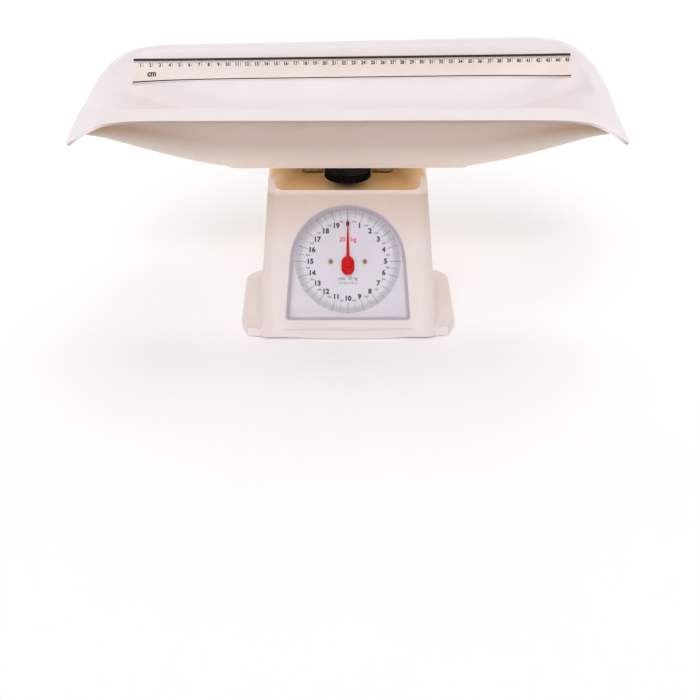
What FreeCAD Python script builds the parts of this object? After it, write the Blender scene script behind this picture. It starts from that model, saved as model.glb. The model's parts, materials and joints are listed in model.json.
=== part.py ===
import FreeCAD, Part
import itertools
import math
import os
import re

import Sketcher
from FreeCAD import Placement, Rotation, Vector

# Mechanical dial baby scale. A round-dial spring balance stands in a tapered plastic casing and
# carries a long baby tray. Frame: +X to the right of the dial, +Y to the rear, +Z up, with the
# origin on the resting surface under the middle of the tray. Millimetres throughout.

# ---------------------------------------------------------------------------------------------
# Driving dimensions: alias, value, meaning
# ---------------------------------------------------------------------------------------------
SIZES = [
    ("skirt_low", 1, "underside of the casing's skirt, held up by the feet"),
    ("skirt_half", 107.3, "half width of the skirt"),
    ("skirt_depth", 74.3, "skirt reach to front and rear"),
    ("skirt_bow", 7.8, "how far the skirt's front edge bows forward"),
    ("skirt_cut_x", 6.5, "front corner chamfer along X"),
    ("skirt_cut_y", 29, "front corner chamfer along Y"),
    ("skirt_corner", 25, "rear corner radius of the skirt"),
    ("lip_height", 9, "upright lip round the skirt"),
    ("wall", 2.5, "casing wall"),
    ("case_low", 12.5, "height at which the low widths of the casing are taken"),
    ("case_top", 159.5, "top deck of the casing"),
    ("case_half_low", 88.7, "half width of the casing at case_low"),
    ("case_half_top", 77.9, "half width of the casing at case_top"),
    ("front_low", 70, "front face reach at case_low"),
    ("front_lean", 15.255, "backward lean of the dial face, degrees"),
    ("back_low", 66, "rear wall reach at case_low"),
    ("back_top", 60, "rear wall reach at case_top"),
    ("case_round", 10, "rounding of the casing's upright edges"),
    ("recess_floor", 144.5, "floor of the recess under the platform"),
    ("recess_round", 9, "rounding between the recess floor and its walls"),
    ("slot_x", 35, "middle of a post slot from the centre line"),
    ("post_x", 33, "middle of a post from the centre line"),
    ("post_y", 17.5, "middle of a post, front to rear"),
    ("post_width", 7, "post width"),
    ("post_depth", 2.5, "post thickness"),
    ("boss_x", 74, "casing screw boss from the centre line"),
    ("boss_front", -50, "front screw bosses"),
    ("boss_rear", 46, "rear screw bosses"),
    ("boss_top", 34, "top of the screw bosses"),
    ("dial_height", 74.9, "height of the dial's centre on the face"),
    ("window_radius", 57.5, "arched top of the dial window"),
    ("window_foot", 62.5, "half width of the window at its sill"),
    ("window_sill", 58, "sill below the dial's centre"),
    ("dial_depth", 8, "printed dial behind the face"),
    ("dial_half", 66, "half width of the dial plate"),
    ("dial_sheet", 1, "dial plate thickness"),
    ("bracket_rear", 30.5, "rear of the pointer bracket behind the face"),
    ("bracket_high", 67.5, "top of the pointer bracket's leg"),
    ("sheet", 1.5, "sheet metal of brackets"),
    ("frame_sheet", 2, "sheet metal of the chassis and the carrier"),
    ("plate_low", 2.5, "underside of the base plate"),
    ("foot_x", 88, "rubber foot from the centre line"),
    ("foot_front", -52, "front feet"),
    ("foot_rear", 52, "rear feet"),
    ("foot_radius", 9, "rubber foot radius"),
    ("shaft_radius", 1, "pointer shaft"),
    ("play", 0.05, "radial running clearance of shafts and pins"),
    ("pitch_radius", 2.5, "pitch radius of the pinion"),
    ("pin_teeth", 10, "teeth of the pinion"),
    ("pinion_back", 21.5, "rear of the pinion behind the face"),
    ("pinion_width", 3, "pinion width"),
    ("rack_back", 22.5, "rear of the rack behind the face"),
    ("rack_width", 9, "rack width, with room for its drift along the shaft"),
    ("rack_screw_x", 9, "screw that holds the rack under the spring bar"),
    ("needle_length", 42.9, "pointer tip from its shaft"),
    ("paddle_half", 6.4, "half width of the pointer's paddle"),
    ("paddle_high", 5.7, "paddle above the shaft"),
    ("paddle_low", 13.2, "paddle below the shaft"),
    ("pointer_back", 6, "rear of the pointer behind the face"),
    ("pointer_sheet", 0.8, "pointer thickness"),
    ("pointer_boss", 1.6, "height of the pointer's boss"),
    ("shaft_back", 32, "rear end of the pointer shaft behind the face"),
    ("shaft_front", 4.8, "front end of the pointer shaft behind the face"),
    ("knob_y", -15.4, "zero knob, spring yoke and spring plane"),
    ("knob_radius", 23, "zero knob radius"),
    ("knob_low", 152.3, "underside of the zero knob"),
    ("knob_height", 8, "zero knob thickness"),
    ("screw_radius", 2.5, "zero screw radius"),
    ("screw_low", 118, "lower end of the zero screw"),
    ("bridge_low", 134, "underside of the chassis bridge"),
    ("yoke_low", 126, "underside of the spring yoke"),
    ("yoke_height", 4, "thickness of the spring yoke"),
    ("spring_x", 24, "spring axis from the centre line"),
    ("spring_radius", 4, "spring coil radius to the wire's middle"),
    ("wire_radius", 0.9, "spring wire radius"),
    ("bar_low", 48, "underside of the carrier's spring bar"),
    ("link_length", 45, "check link between its pivots"),
    ("link_tilt", 10.42, "check link above level with no load, degrees"),
    ("link_y", 45, "check link pivots on the chassis"),
    ("upper_link_z", 105, "upper check link pivot height"),
    ("lower_link_z", 35, "lower check link pivot height"),
    ("link_pin", 1.5, "check link pin radius"),
    ("plate_half_x", 117, "half length of the platform"),
    ("plate_half_y", 60, "half depth of the platform"),
    ("platform_low", 177, "underside of the platform"),
    ("platform_height", 3, "platform thickness"),
    ("tray_half_x", 263, "half length of the tray at its rim"),
    ("tray_half_y", 123.7, "half depth of the tray at its rim"),
    ("tray_straight", 216, "half length of the straight rim"),
    ("tray_square", 5, "squareness of the rim corners"),
    ("tray_rim_z", 245.2, "rim height along the sides"),
    ("tray_end_z", 210, "rim height at the ends"),
    ("tray_dip_x", 190.4, "where the rim starts to fall towards an end"),
    ("tray_dip_power", 2.7, "how late the rim falls"),
    ("rim_width", 22, "width of the turned-out rim"),
    ("rim_end", 15, "width of the turned-out rim at the ends"),
    ("rim_fall", 6.7, "fall of the rim outward along the sides"),
    ("rim_fall_end", 7, "fall of the rim outward at the ends"),
    ("floor_half_x", 110, "half length of the tray's level floor"),
    ("ramp_curve", 1.35, "how gently the floor starts to ramp up to the ends"),
    ("floor_half_y", 64, "half depth of the tray's level floor"),
    ("head_rise", 4, "how much higher the rear wall stands at the head end"),
    ("tray_wall", 2.5, "tray wall"),
    ("rule_half", 225, "half length of the printed rule"),
    ("rule_middle", 5, "middle of the printed rule along the tray"),
    ("rule_low", 216.2, "lower edge of the printed rule"),
    ("rule_high", 239.2, "upper edge of the printed rule"),
]

# Places of the fasteners that are drilled from flat patterns, and how finely curves are divided
CHASSIS_BOLT_X = 46
CHASSIS_BOLTS_Y = {"front": -30, "rear": 30}
BRACKET_BOLTS_X = {"outer": -26, "inner": -20}
BRACKET_BOLT_Y = -40
DIAL_SCREW_X = 17
TRAY_SCREW_X = 90
TRAY_SCREW_Y = 42
KNOB_FLUTES = 48
SPRING_TURNS = 22
RACK_TEETH = 16
SIDES = {"left": -1, "right": 1}
ENDS = {"front": -1, "rear": 1}
CORNER_STEPS = 28
SIDE_STEPS = 10
WALL_CURVE = 1.7
WALL_STEPS = (0, 10, 20, 30, 39, 48, 57, 66, 74, 82)
RIM_STEPS = (0.12, 0.35, 0.68, 1)
HEAD_RISE_X = 205

doc = FreeCAD.newDocument("DialBabyScale")
sheet = doc.addObject("Spreadsheet::Sheet", "Sizes")
for row, (alias, value, meaning) in enumerate(SIZES, start=1):
    sheet.set(f"A{row}", meaning)
    sheet.set(f"B{row}", str(value))
    sheet.setAlias(f"B{row}", alias)
doc.recompute()

ALIASES = re.compile(r"\b(" + "|".join(alias for alias, _, _ in SIZES) + r")\b")
nodes = {}


def read(alias):
    """A driving dimension as a number."""
    return float(sheet.get(alias))


def bind(item, prop, formula):
    """Tie one property of an object to a formula over the sheet's aliases."""
    item.setExpression(prop, ALIASES.sub(r"Sizes.\1", str(formula)))


def place(item, x, y, z):
    for axis, formula in zip("xyz", (x, y, z)):
        bind(item, f"Placement.Base.{axis}", formula)
    return item


def node(name, item):
    """Register an object as a named sub-part."""
    item.Label = name
    nodes[name] = item
    return item


# ---------------------------------------------------------------------------------------------
# Small builders
# ---------------------------------------------------------------------------------------------
def box(name, low, span):
    """Block from its low corner and its three spans."""
    item = doc.addObject("Part::Box", name)
    for prop, formula in zip(("Length", "Width", "Height"), span):
        bind(item, prop, formula)
    return place(item, *low)


TURNS = {
    "X": Rotation(Vector(0, 1, 0), 90),
    "Y": Rotation(Vector(1, 0, 0), -90),
    "Z": Rotation(),
}


def rod(name, start, radius, length, axis="Z"):
    """Cylinder from the middle of its first end, along one axis."""
    item = doc.addObject("Part::Cylinder", name)
    bind(item, "Radius", radius)
    bind(item, "Height", length)
    item.Placement = Placement(Vector(), TURNS[axis])
    return place(item, *start)


def join(name, items):
    item = doc.addObject("Part::MultiFuse", name)
    item.Shapes = items
    item.Refine = True
    return item


def cut(name, base, tools):
    item = doc.addObject("Part::Cut", name)
    item.Base = base
    item.Tool = tools[0] if len(tools) == 1 else join(name + "_tools", tools)
    return item


def bunch(name, items):
    """Separate identical solids kept as one node."""
    item = doc.addObject("Part::Compound", name)
    item.Links = items
    return item


def feature(name, shape):
    item = doc.addObject("Part::Feature", name)
    item.Shape = shape
    return item


def on_face(item):
    """Move an object drawn about the dial's centre, +Z out of the dial, onto the leaning face."""
    item.Placement = Placement(Vector(), Rotation(Vector(1, 0, 0), 90 - read("front_lean")))
    bind(item, "Placement.Rotation.Angle", "90 - front_lean")
    fall = "(dial_height - case_low) * tan(front_lean * 1deg)"
    return place(item, 0, f"{fall} - front_low", "dial_height")


def sketch_on(body, name, offset=0, role="XY_Plane"):
    """Empty sketch on one of the body's own origin planes."""
    plane = next(f for f in body.Origin.OriginFeatures if f.Role == role)
    sketch = body.newObject("Sketcher::SketchObject", name)
    sketch.AttachmentSupport = [(plane, "")]
    sketch.MapMode = "FlatFace"
    bind(sketch, "AttachmentOffset.Base.z", offset)
    return sketch


def dimension(sketch, name, constraint, formula):
    """Add a named driving dimension tied to the sheet."""
    index = sketch.addConstraint(constraint)
    sketch.renameConstraint(index, name)
    bind(sketch, f"Constraints.{name}", formula)


def circle(sketch, name, x, y, radius):
    """Circle by centre and radius, all three tied to the sheet."""
    index = sketch.addGeometry(Part.Circle(Vector(1, 1, 0), Vector(0, 0, 1), 1))
    dimension(sketch, name + "_r", Sketcher.Constraint("Radius", index, 1), radius)
    dimension(sketch, name + "_x", Sketcher.Constraint("DistanceX", -1, 1, index, 3, 1), x)
    dimension(sketch, name + "_y", Sketcher.Constraint("DistanceY", -1, 1, index, 3, 1), y)


def outline(sketch, corners):
    """Closed run of straight lines whose corners are pairs of formulas."""
    count = len(corners)
    ring = [Vector(math.cos(2 * math.pi * i / count), math.sin(2 * math.pi * i / count), 0)
            for i in range(count)]
    lines = [sketch.addGeometry(Part.LineSegment(ring[i], ring[(i + 1) % count]))
             for i in range(count)]
    for i, line in enumerate(lines):
        sketch.addConstraint(Sketcher.Constraint("Coincident", line, 2, lines[(i + 1) % count], 1))
    for i, (x, y) in enumerate(corners):
        along = Sketcher.Constraint("DistanceX", -1, 1, lines[i], 1, 1)
        dimension(sketch, f"x{i}_{lines[i]}", along, x)
        across = Sketcher.Constraint("DistanceY", -1, 1, lines[i], 1, 1)
        dimension(sketch, f"y{i}_{lines[i]}", across, y)


def pad(body, name, sketch, length):
    item = body.newObject("PartDesign::Pad", name)
    item.Profile = sketch
    bind(item, "Length", length)
    sketch.Visibility = False
    return item


def pocket(body, name, sketch, length):
    """Cut upwards from the sketch, and make sure that it takes something away."""
    doc.recompute()
    before = body.Shape.Volume
    item = body.newObject("PartDesign::Pocket", name)
    item.Profile = sketch
    item.Reversed = True
    bind(item, "Length", length)
    sketch.Visibility = False
    doc.recompute()
    if item.Shape.Volume > before - 0.01:
        raise RuntimeError(f"{name} cuts nothing")
    return item


def corners_of(half_x, low_y, high_y):
    return [(f"-({half_x})", low_y), (half_x, low_y), (half_x, high_y), (f"-({half_x})", high_y)]


# ---------------------------------------------------------------------------------------------
# Casing
# ---------------------------------------------------------------------------------------------
LEAN = math.tan(math.radians(read("front_lean")))


def case_share(height):
    return (height - read("case_low")) / (read("case_top") - read("case_low"))


def case_half(height):
    low = read("case_half_low")
    return low + (read("case_half_top") - low) * case_share(height)


def case_front(height):
    return -read("front_low") + LEAN * (height - read("case_low"))


def case_back(height):
    return read("back_low") + (read("back_top") - read("back_low")) * case_share(height)


def tapered_block(inset, low, high, radius):
    """Tapered block of the casing drawn in by an inset, with rounded upright and top edges."""
    wires = []
    for height in (low, high):
        half = case_half(height) - inset
        front = case_front(height) + inset
        back = case_back(height) - inset
        points = [Vector(-half, front, height), Vector(half, front, height),
                  Vector(half, back, height), Vector(-half, back, height)]
        wires.append(Part.makePolygon(points + points[:1]))
    block = Part.makeLoft(wires, True, True)
    uprights = [edge for edge in block.Edges if edge.BoundBox.ZLength > 1]
    block = block.makeFillet(radius, uprights)
    top_loop = [edge for edge in block.Edges if edge.BoundBox.ZMin > high - 0.01]
    return block.makeFillet(0.9 * radius, top_loop)


def skirt_outline(height, side, front, rear):
    """Outline of the skirt at one height, drawn in at the sides, the front and the rear."""
    half = read("skirt_half") - side
    reach = read("skirt_depth") - front
    back = read("skirt_depth") - rear
    corner = read("skirt_corner")
    bevel_x = half - read("skirt_cut_x")
    bevel_y = -(reach - read("skirt_bow"))
    side_y = -(reach - read("skirt_cut_y"))
    lean = corner * (1 - math.sqrt(0.5))

    def at(x, y):
        return Vector(x, y, height)

    def straight(start, end):
        return Part.LineSegment(start, end).toShape()

    def bend(start, middle, end):
        return Part.Arc(start, middle, end).toShape()

    return Part.Wire([
        bend(at(-bevel_x, bevel_y), at(0, -reach), at(bevel_x, bevel_y)),
        straight(at(bevel_x, bevel_y), at(half, side_y)),
        straight(at(half, side_y), at(half, back - corner)),
        bend(at(half, back - corner), at(half - lean, back - lean), at(half - corner, back)),
        straight(at(half - corner, back), at(corner - half, back)),
        bend(at(corner - half, back), at(lean - half, back - lean), at(-half, back - corner)),
        straight(at(-half, back - corner), at(-half, side_y)),
        straight(at(-half, side_y), at(-bevel_x, bevel_y)),
    ])


def skirt_block(inset, drop):
    """Upright lip and the hollow-curved shoulder that climbs from it to the casing."""
    low = read("skirt_low") - drop
    lip_top = read("skirt_low") + read("lip_height") - drop
    lip = Part.Face(skirt_outline(low, inset, inset, inset)).extrude(Vector(0, 0, lip_top - low))
    shoulder_reach = read("skirt_half") - read("case_half_low")
    sections = []
    for share in (0, 0.2, 0.4, 0.6, 0.8, 1.0):
        height = lip_top + 2.5 * share + 7 * share ** 4
        sections.append(skirt_outline(height, inset + shoulder_reach * share,
                                      inset + 6.2 * share, inset + 10 * share))
    return lip.fuse(Part.makeLoft(sections, True, False))


def recess_block(grow, floor):
    """Hollow under the platform, open to the front, narrowing to the rear."""
    wires = []
    for height, spread in ((floor, grow), (read("case_top") + 4, grow + 4)):
        front_half = 75 + spread
        rear_half = 46 + spread
        rear = 24 + spread
        left = Part.Arc(Vector(-front_half, -36, height), Vector(-55 - spread, -8, height),
                        Vector(-rear_half, rear, height)).toShape()
        right = Part.Arc(Vector(rear_half, rear, height), Vector(55 + spread, -8, height),
                         Vector(front_half, -36, height)).toShape()
        loop = [Vector(front_half, -36, height), Vector(front_half, -90, height),
                Vector(-front_half, -90, height), Vector(-front_half, -36, height)]
        front = [Part.LineSegment(a, b).toShape() for a, b in zip(loop, loop[1:])]
        rear_edge = Part.LineSegment(Vector(-rear_half, rear, height),
                                     Vector(rear_half, rear, height)).toShape()
        wires.append(Part.Wire([left, rear_edge, right] + front))
    hollow = Part.makeLoft(wires, True, True)
    floor_edges = [edge for edge in hollow.Edges
                   if edge.BoundBox.ZMax < floor + 0.01 and edge.BoundBox.YMin > -37]
    return hollow.makeFillet(read("recess_round") - grow / 2, floor_edges)


def face_placement():
    """Dial centre on the face, with local +Z out of the dial and local +Y up the face."""
    centre = Vector(0, case_front(read("dial_height")), read("dial_height"))
    return Placement(centre, Rotation(Vector(1, 0, 0), 90 - read("front_lean")))


def window_block(grow, back, front):
    """Arched window outline with flared jambs, as a block between two depths."""
    radius = read("window_radius") + grow
    foot = read("window_foot") + grow
    sill = -read("window_sill") - grow
    reach = math.hypot(foot, sill)
    spring = math.atan2(sill, foot) + math.acos(radius / reach)
    right = Vector(radius * math.cos(spring), radius * math.sin(spring), back)
    left = Vector(-right.x, right.y, back)
    arch = Part.Arc(right, Vector(0, radius, back), left).toShape()
    points = [left, Vector(-foot, sill, back), Vector(foot, sill, back), right]
    jambs = [Part.LineSegment(a, b).toShape() for a, b in zip(points, points[1:])]
    block = Part.Face(Part.Wire([arch] + jambs)).extrude(Vector(0, 0, front - back))
    feet = [edge for edge in block.Edges
            if edge.BoundBox.ZLength > 0.5 and edge.BoundBox.YMax < sill + 0.01]
    return block.makeFillet(3 + min(grow, 0), feet)


def casing_shape():
    """Moulded casing: tapered body, skirt, recess, dial window with its well, screw bosses."""
    wall = read("wall")
    low = read("skirt_low") + 1
    outer = tapered_block(0, low, read("case_top"), read("case_round"))
    outer = outer.fuse(skirt_block(0, 0))
    inner = tapered_block(wall, 0, read("case_top") - wall, read("case_round") - wall)
    inner = inner.fuse(skirt_block(wall, wall))
    inner = inner.cut(recess_block(wall, read("recess_floor") - wall))
    shell = outer.cut(inner).cut(recess_block(0, read("recess_floor")))

    dial_back = -read("dial_depth") + 0.3
    well = window_block(2, dial_back, -1)
    well.Placement = face_placement()
    shell = shell.fuse(well)

    bosses = []
    plate_top = read("plate_low") + read("sheet")
    boss_height = read("boss_top") - plate_top
    for side in (-1, 1):
        for y in (read("boss_front"), read("boss_rear")):
            foot = Vector(side * read("boss_x"), y, plate_top)
            bosses.append(Part.makeCylinder(4.5, boss_height, foot))
            rib_start = min(foot.x, side * 87)
            rib_low = Vector(rib_start, y - 1, plate_top + 6)
            bosses.append(Part.makeBox(87 - read("boss_x"), 2, boss_height - 6, rib_low))
    shell = shell.fuse(bosses)

    openings = []
    for back, front, grow in ((-3.2, 6, 0), (-9, -3.2, -1.2)):
        opening = window_block(grow, back, front)
        opening.Placement = face_placement()
        openings.append(opening)
    floor = read("recess_floor")
    for side in (-1, 1):
        slot_low = Vector(side * read("slot_x") - 10.5, read("post_y") - 4.5, floor - 8)
        openings.append(Part.makeBox(21, 9, 12, slot_low))
        for y in (read("boss_front"), read("boss_rear")):
            bore_foot = Vector(side * read("boss_x"), y, 0)
            openings.append(Part.makeCylinder(1.6, 24, bore_foot))
    screw_hole = read("screw_radius") + 1.2
    openings.append(Part.makeCylinder(screw_hole, 12, Vector(0, read("knob_y"), floor - 8)))
    return shell.cut(openings)


def build_casing():
    """Casing and the clear window that sits in its well."""
    node("casing", feature("Casing", casing_shape()))
    lens = node("dial_lens", feature("DialLens", window_block(-0.25, -2.6, -0.8)))
    lens.Placement = face_placement()


def skirt_floor():
    """Base plate, its outline just inside the skirt's lip."""
    inset = read("wall") + 0.4
    flat = Part.Face(skirt_outline(read("plate_low"), inset, inset, inset))
    plate = flat.extrude(Vector(0, 0, read("sheet")))
    holes = []
    for side in (-1, 1):
        for y in (read("boss_front"), read("boss_rear")):
            holes.append(Part.makeCylinder(2, 4, Vector(side * read("boss_x"), y, 1)))
        for y in CHASSIS_BOLTS_Y.values():
            holes.append(Part.makeCylinder(1.75, 4, Vector(side * CHASSIS_BOLT_X, y, 1)))
    return plate.cut(holes)


def build_base():
    """Base plate, rubber feet, and the screws of the casing and the chassis."""
    node("base_plate", feature("BasePlate", skirt_floor()))
    feet = []
    screws = []
    bolts = []
    for (hand, side), end in itertools.product(SIDES.items(), ENDS):
        tag = f"_{end}_{hand}"
        foot = doc.addObject("Part::Cone", "Foot" + tag)
        bind(foot, "Radius1", "foot_radius - 1")
        bind(foot, "Radius2", "foot_radius")
        bind(foot, "Height", "plate_low")
        feet.append(place(foot, f"{side} * foot_x", f"foot_{end}", 0))

        x, y = f"{side} * boss_x", f"boss_{end}"
        head = rod("CaseScrewHead" + tag, (x, y, "plate_low - 1.6"), 3.2, 1.6)
        shank = rod("CaseScrewShank" + tag, (x, y, "plate_low - 0.1"), 1.5, 16)
        screws.append(join("CaseScrew" + tag, [head, shank]))

        x, y = side * CHASSIS_BOLT_X, CHASSIS_BOLTS_Y[end]
        head = rod("ChassisBoltHead" + tag, (x, y, "plate_low - 1.5"), 3, 1.5)
        shank = rod("ChassisBoltShank" + tag, (x, y, "plate_low - 0.1"), 1.5, 7)
        nut = rod("ChassisNut" + tag, (x, y, "plate_low + sheet + frame_sheet"), 3, 2.4)
        bolts.append(join("ChassisBolt" + tag, [head, shank, nut]))
    node("rubber_feet", bunch("RubberFeet", feet))
    node("casing_screws", bunch("CasingScrews", screws))
    node("chassis_bolts", bunch("ChassisBolts", bolts))


# ---------------------------------------------------------------------------------------------
# Chassis and check links
# ---------------------------------------------------------------------------------------------
def build_chassis():
    """Folded steel frame: base, back, a bridge for the zero screw and ears for the check links."""
    base_low = "plate_low + sheet"
    bridge_top = "bridge_low + frame_sheet"
    pieces = [
        box("ChassisBase", (-50, -48, base_low), (100, 102, "frame_sheet")),
        box("ChassisBack", (-44, 52, base_low), (88, "frame_sheet", f"{bridge_top} - ({base_low})")),
        box("ChassisBridge", (-16, -24, "bridge_low"), (32, 78, "frame_sheet")),
    ]
    for hand, ear_x, rib_x in (("left", -44, -16), ("right", 42, 14)):
        pieces.append(box(f"ChassisEar_{hand}", (ear_x, 37, 20), ("frame_sheet", 17, 100)))
        low = (rib_x, -2, "bridge_low - 10")
        pieces.append(box(f"ChassisRib_{hand}", low, ("frame_sheet", 56, 10)))
    holes = [
        rod("ScrewHole", (0, "knob_y", "bridge_low - 2"), "screw_radius + play", 8),
        box("BaseWindow", (-30, -20, 0), (60, 62, 20)),
    ]
    for level in ("upper", "lower"):
        start = (-50, "link_y", f"{level}_link_z")
        holes.append(rod(f"Pivot_{level}", start, "link_pin + play", 100, "X"))
    for (hand, side), (end, y) in itertools.product(SIDES.items(), CHASSIS_BOLTS_Y.items()):
        start = (side * CHASSIS_BOLT_X, y, 0)
        holes.append(rod(f"BoltHole_{end}_{hand}", start, 1.75, 12))
    for tag, x in BRACKET_BOLTS_X.items():
        holes.append(rod(f"BracketHole_{tag}", (x, BRACKET_BOLT_Y, 0), 1.5, 12))
    node("chassis", cut("Chassis", join("ChassisSheet", pieces), holes))

    for level in ("upper", "lower"):
        z = f"{level}_link_z"
        pin = rod(f"PivotPin_{level}", (-47, "link_y", z), "link_pin", 94, "X")
        clips = [rod(f"PinClip_{level}_{hand}", (x, "link_y", z), 2.6, 1, "X")
                 for hand, x in (("left", -45.4), ("right", 44.4))]
        node(f"{level}_pivot_pin", join(f"PivotRod_{level}", [pin] + clips))


def build_link(level):
    """Check link: two arms, the web between them and the rivets that ride in the carrier."""
    z = f"{level}_link_z"
    parts = []
    holes = []
    rivets = []
    for hand, x, rivet_x, cap_x in (("left", -40.3, -41.2, -41.5), ("right", 38.3, 34, 40.3)):
        tag = f"_{level}_{hand}"
        parts.append(box("Arm" + tag, (x, "-link_length", -4.5), ("frame_sheet", "link_length", 9)))
        parts.append(rod("ArmRear" + tag, (x, 0, 0), 4.5, "frame_sheet", "X"))
        parts.append(rod("ArmFront" + tag, (x, "-link_length", 0), 4.5, "frame_sheet", "X"))
        stem = rod("RivetStem" + tag, (rivet_x, "-link_length", 0), "link_pin", 7.2, "X")
        cap = rod("RivetCap" + tag, (cap_x, "-link_length", 0), 2.6, 1.2, "X")
        rivets.append(join("Rivet" + tag, [stem, cap]))
        holes.append(rod("RivetHole" + tag, (x - 1, "-link_length", 0), "link_pin", 5, "X"))
    parts.append(box("Web" + level, (-38.5, -20, -4.5), (77, 8, "frame_sheet")))
    holes.append(rod("LinkBore" + level, (-50, 0, 0), "link_pin + play", 100, "X"))
    link = cut("Link_" + level, join("LinkSheet_" + level, parts), holes)
    rivet_pair = bunch("LinkRivets_" + level, rivets)
    for item in (link, rivet_pair):
        item.Placement = Placement(Vector(), Rotation(Vector(1, 0, 0), -read("link_tilt")))
        bind(item, "Placement.Rotation.Angle", "link_tilt")
        place(item, 0, "link_y", z)
    node(f"{level}_check_link", link)
    node(f"{level}_link_rivets", rivet_pair)


# ---------------------------------------------------------------------------------------------
# Dial, pointer and rack
# ---------------------------------------------------------------------------------------------
def build_dial_plate():
    """Flat dial sheet, its printed face dial_depth behind the front of the casing."""
    body = doc.addObject("PartDesign::Body", "DialPlate")
    sketch = sketch_on(body, "DialOutline", "-dial_depth - dial_sheet")
    outline(sketch, corners_of("dial_half", -66, 62))
    circle(sketch, "shaft", 0, 0, "shaft_radius + 0.6")
    for hand, side in SIDES.items():
        circle(sketch, f"screw_{hand}", side * DIAL_SCREW_X, 0, 1.3)
    pad(body, "DialSheet", sketch, "dial_sheet")
    on_face(body)
    node("dial_plate", body)


def build_pointer_bracket():
    """Folded bracket behind the dial that carries both shaft bearings."""
    front = "dial_depth + dial_sheet"
    plates = [
        box("BearingFront", (-22, -12, f"-({front}) - sheet"), (44, 24, "sheet")),
        box("BearingRear", (-16, -10, "-bracket_rear"), (24, 20, "sheet")),
        box("BearingWeb", (-16, -10, "-bracket_rear"), ("sheet", 20, f"bracket_rear - ({front})")),
    ]
    seats = [rod("BushSeat" + name, (0, 0, depth), 2.2, 6)
             for name, depth in (("Front", -13), ("Rear", -33))]
    for hand, side in SIDES.items():
        seats.append(rod(f"DialTap_{hand}", (side * DIAL_SCREW_X, 0, -13), 1, 6))
    upper = on_face(cut("BearingSheet", join("BearingFold", plates), seats))
    base_top = "plate_low + sheet + frame_sheet"
    leg = box("BracketLeg", (-16, -46, base_top), ("sheet", 19, f"bracket_high - ({base_top})"))
    foot = box("BracketFoot", (-32, -46, base_top), (17, 19, "sheet"))
    taps = []
    bolts = []
    for tag, x in BRACKET_BOLTS_X.items():
        taps.append(rod(f"BracketTap_{tag}", (x, BRACKET_BOLT_Y, 0), 1.5, 20))
        head = rod(f"BracketHead_{tag}", (x, BRACKET_BOLT_Y, f"{base_top} + sheet"), 2.6, 1.4)
        shank = rod(f"BracketShank_{tag}", (x, BRACKET_BOLT_Y, "plate_low + sheet"), 1.4, 4)
        bolts.append(join(f"BracketBolt_{tag}", [head, shank]))
    lower = cut("BracketStand", join("BracketFold", [leg, foot]), taps)
    node("pointer_bracket", join("PointerBracket", [upper, lower]))
    node("bracket_screws", bunch("BracketScrews", bolts))


def build_bushes():
    for name, low, collar_low in (("front", -13, -13), ("rear", -31.5, -29)):
        tag = name.capitalize()
        barrel = rod("BushBarrel" + tag, (0, 0, low), 2.2, 4)
        collar = rod("BushCollar" + tag, (0, 0, collar_low), 3.2, 1)
        bore = rod("BushBore" + tag, (0, 0, low - 1), "shaft_radius + play", 8)
        bush = cut("Bush" + tag, join("BushTurned" + tag, [barrel, collar]), [bore])
        node(f"{name}_bearing_bush", on_face(bush))


def build_dial_screws():
    """Two small cross-head screws that hold the dial to the bracket."""
    screws = []
    for hand, side in SIDES.items():
        x = side * DIAL_SCREW_X
        head = rod(f"DialScrewHead_{hand}", (x, 0, "-dial_depth"), 2.5, 1.3)
        shank = rod(f"DialScrewShank_{hand}", (x, 0, "-dial_depth - 4"), 0.95, 4)
        whole = join(f"DialScrewBlank_{hand}", [head, shank])
        slots = [box(f"CrossLong_{hand}", (x - 1.5, -0.3, "-dial_depth + 0.7"), (3, 0.6, 1)),
                 box(f"CrossShort_{hand}", (x - 0.3, -1.5, "-dial_depth + 0.7"), (0.6, 3, 1))]
        screws.append(cut(f"DialScrew_{hand}", whole, slots))
    node("dial_screws", on_face(bunch("DialScrews", screws)))


def build_pointer():
    """Red pointer: needle, paddle and domed boss, pressed on the end of its shaft."""
    body = doc.addObject("PartDesign::Body", "Pointer")
    low = "-pointer_back"
    blade = sketch_on(body, "PointerBlade", low)
    tip = "needle_length"
    outline(blade, [(-1.6, 4), (-0.4, tip), (0.4, tip), (1.6, 4)])
    pad(body, "Needle", blade, "pointer_sheet")
    paddle_ends = {"Upper": "paddle_high - paddle_half", "Lower": "paddle_half - paddle_low"}
    paddle = sketch_on(body, "PointerPaddle", low)
    outline(paddle, corners_of("paddle_half", paddle_ends["Lower"], paddle_ends["Upper"]))
    pad(body, "Paddle", paddle, "pointer_sheet")
    for name, y in paddle_ends.items():
        end = sketch_on(body, f"Paddle{name}End", low)
        circle(end, "round", 0, y, "paddle_half")
        pad(body, f"Paddle{name}", end, "pointer_sheet")
    boss = sketch_on(body, "PointerBoss", f"{low} + pointer_sheet - 0.1")
    circle(boss, "boss", 0, 0, 5.9)
    boss_pad = pad(body, "Boss", boss, "pointer_boss")
    doc.recompute()
    boss_top = read("pointer_sheet") - 0.1 + read("pointer_boss") - read("pointer_back")
    rim = [f"Edge{i + 1}" for i, edge in enumerate(boss_pad.Shape.Edges)
           if edge.BoundBox.ZMin > boss_top - 0.01 and isinstance(edge.Curve, Part.Circle)]
    dome = body.newObject("PartDesign::Fillet", "BossDome")
    dome.Base = (boss_pad, rim)
    dome.Radius = 1.2
    bore = sketch_on(body, "PointerBore", low)
    circle(bore, "bore", 0, 0, "shaft_radius")
    pocket(body, "ShaftBore", bore, 1.2)
    node("pointer", on_face(body))


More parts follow.
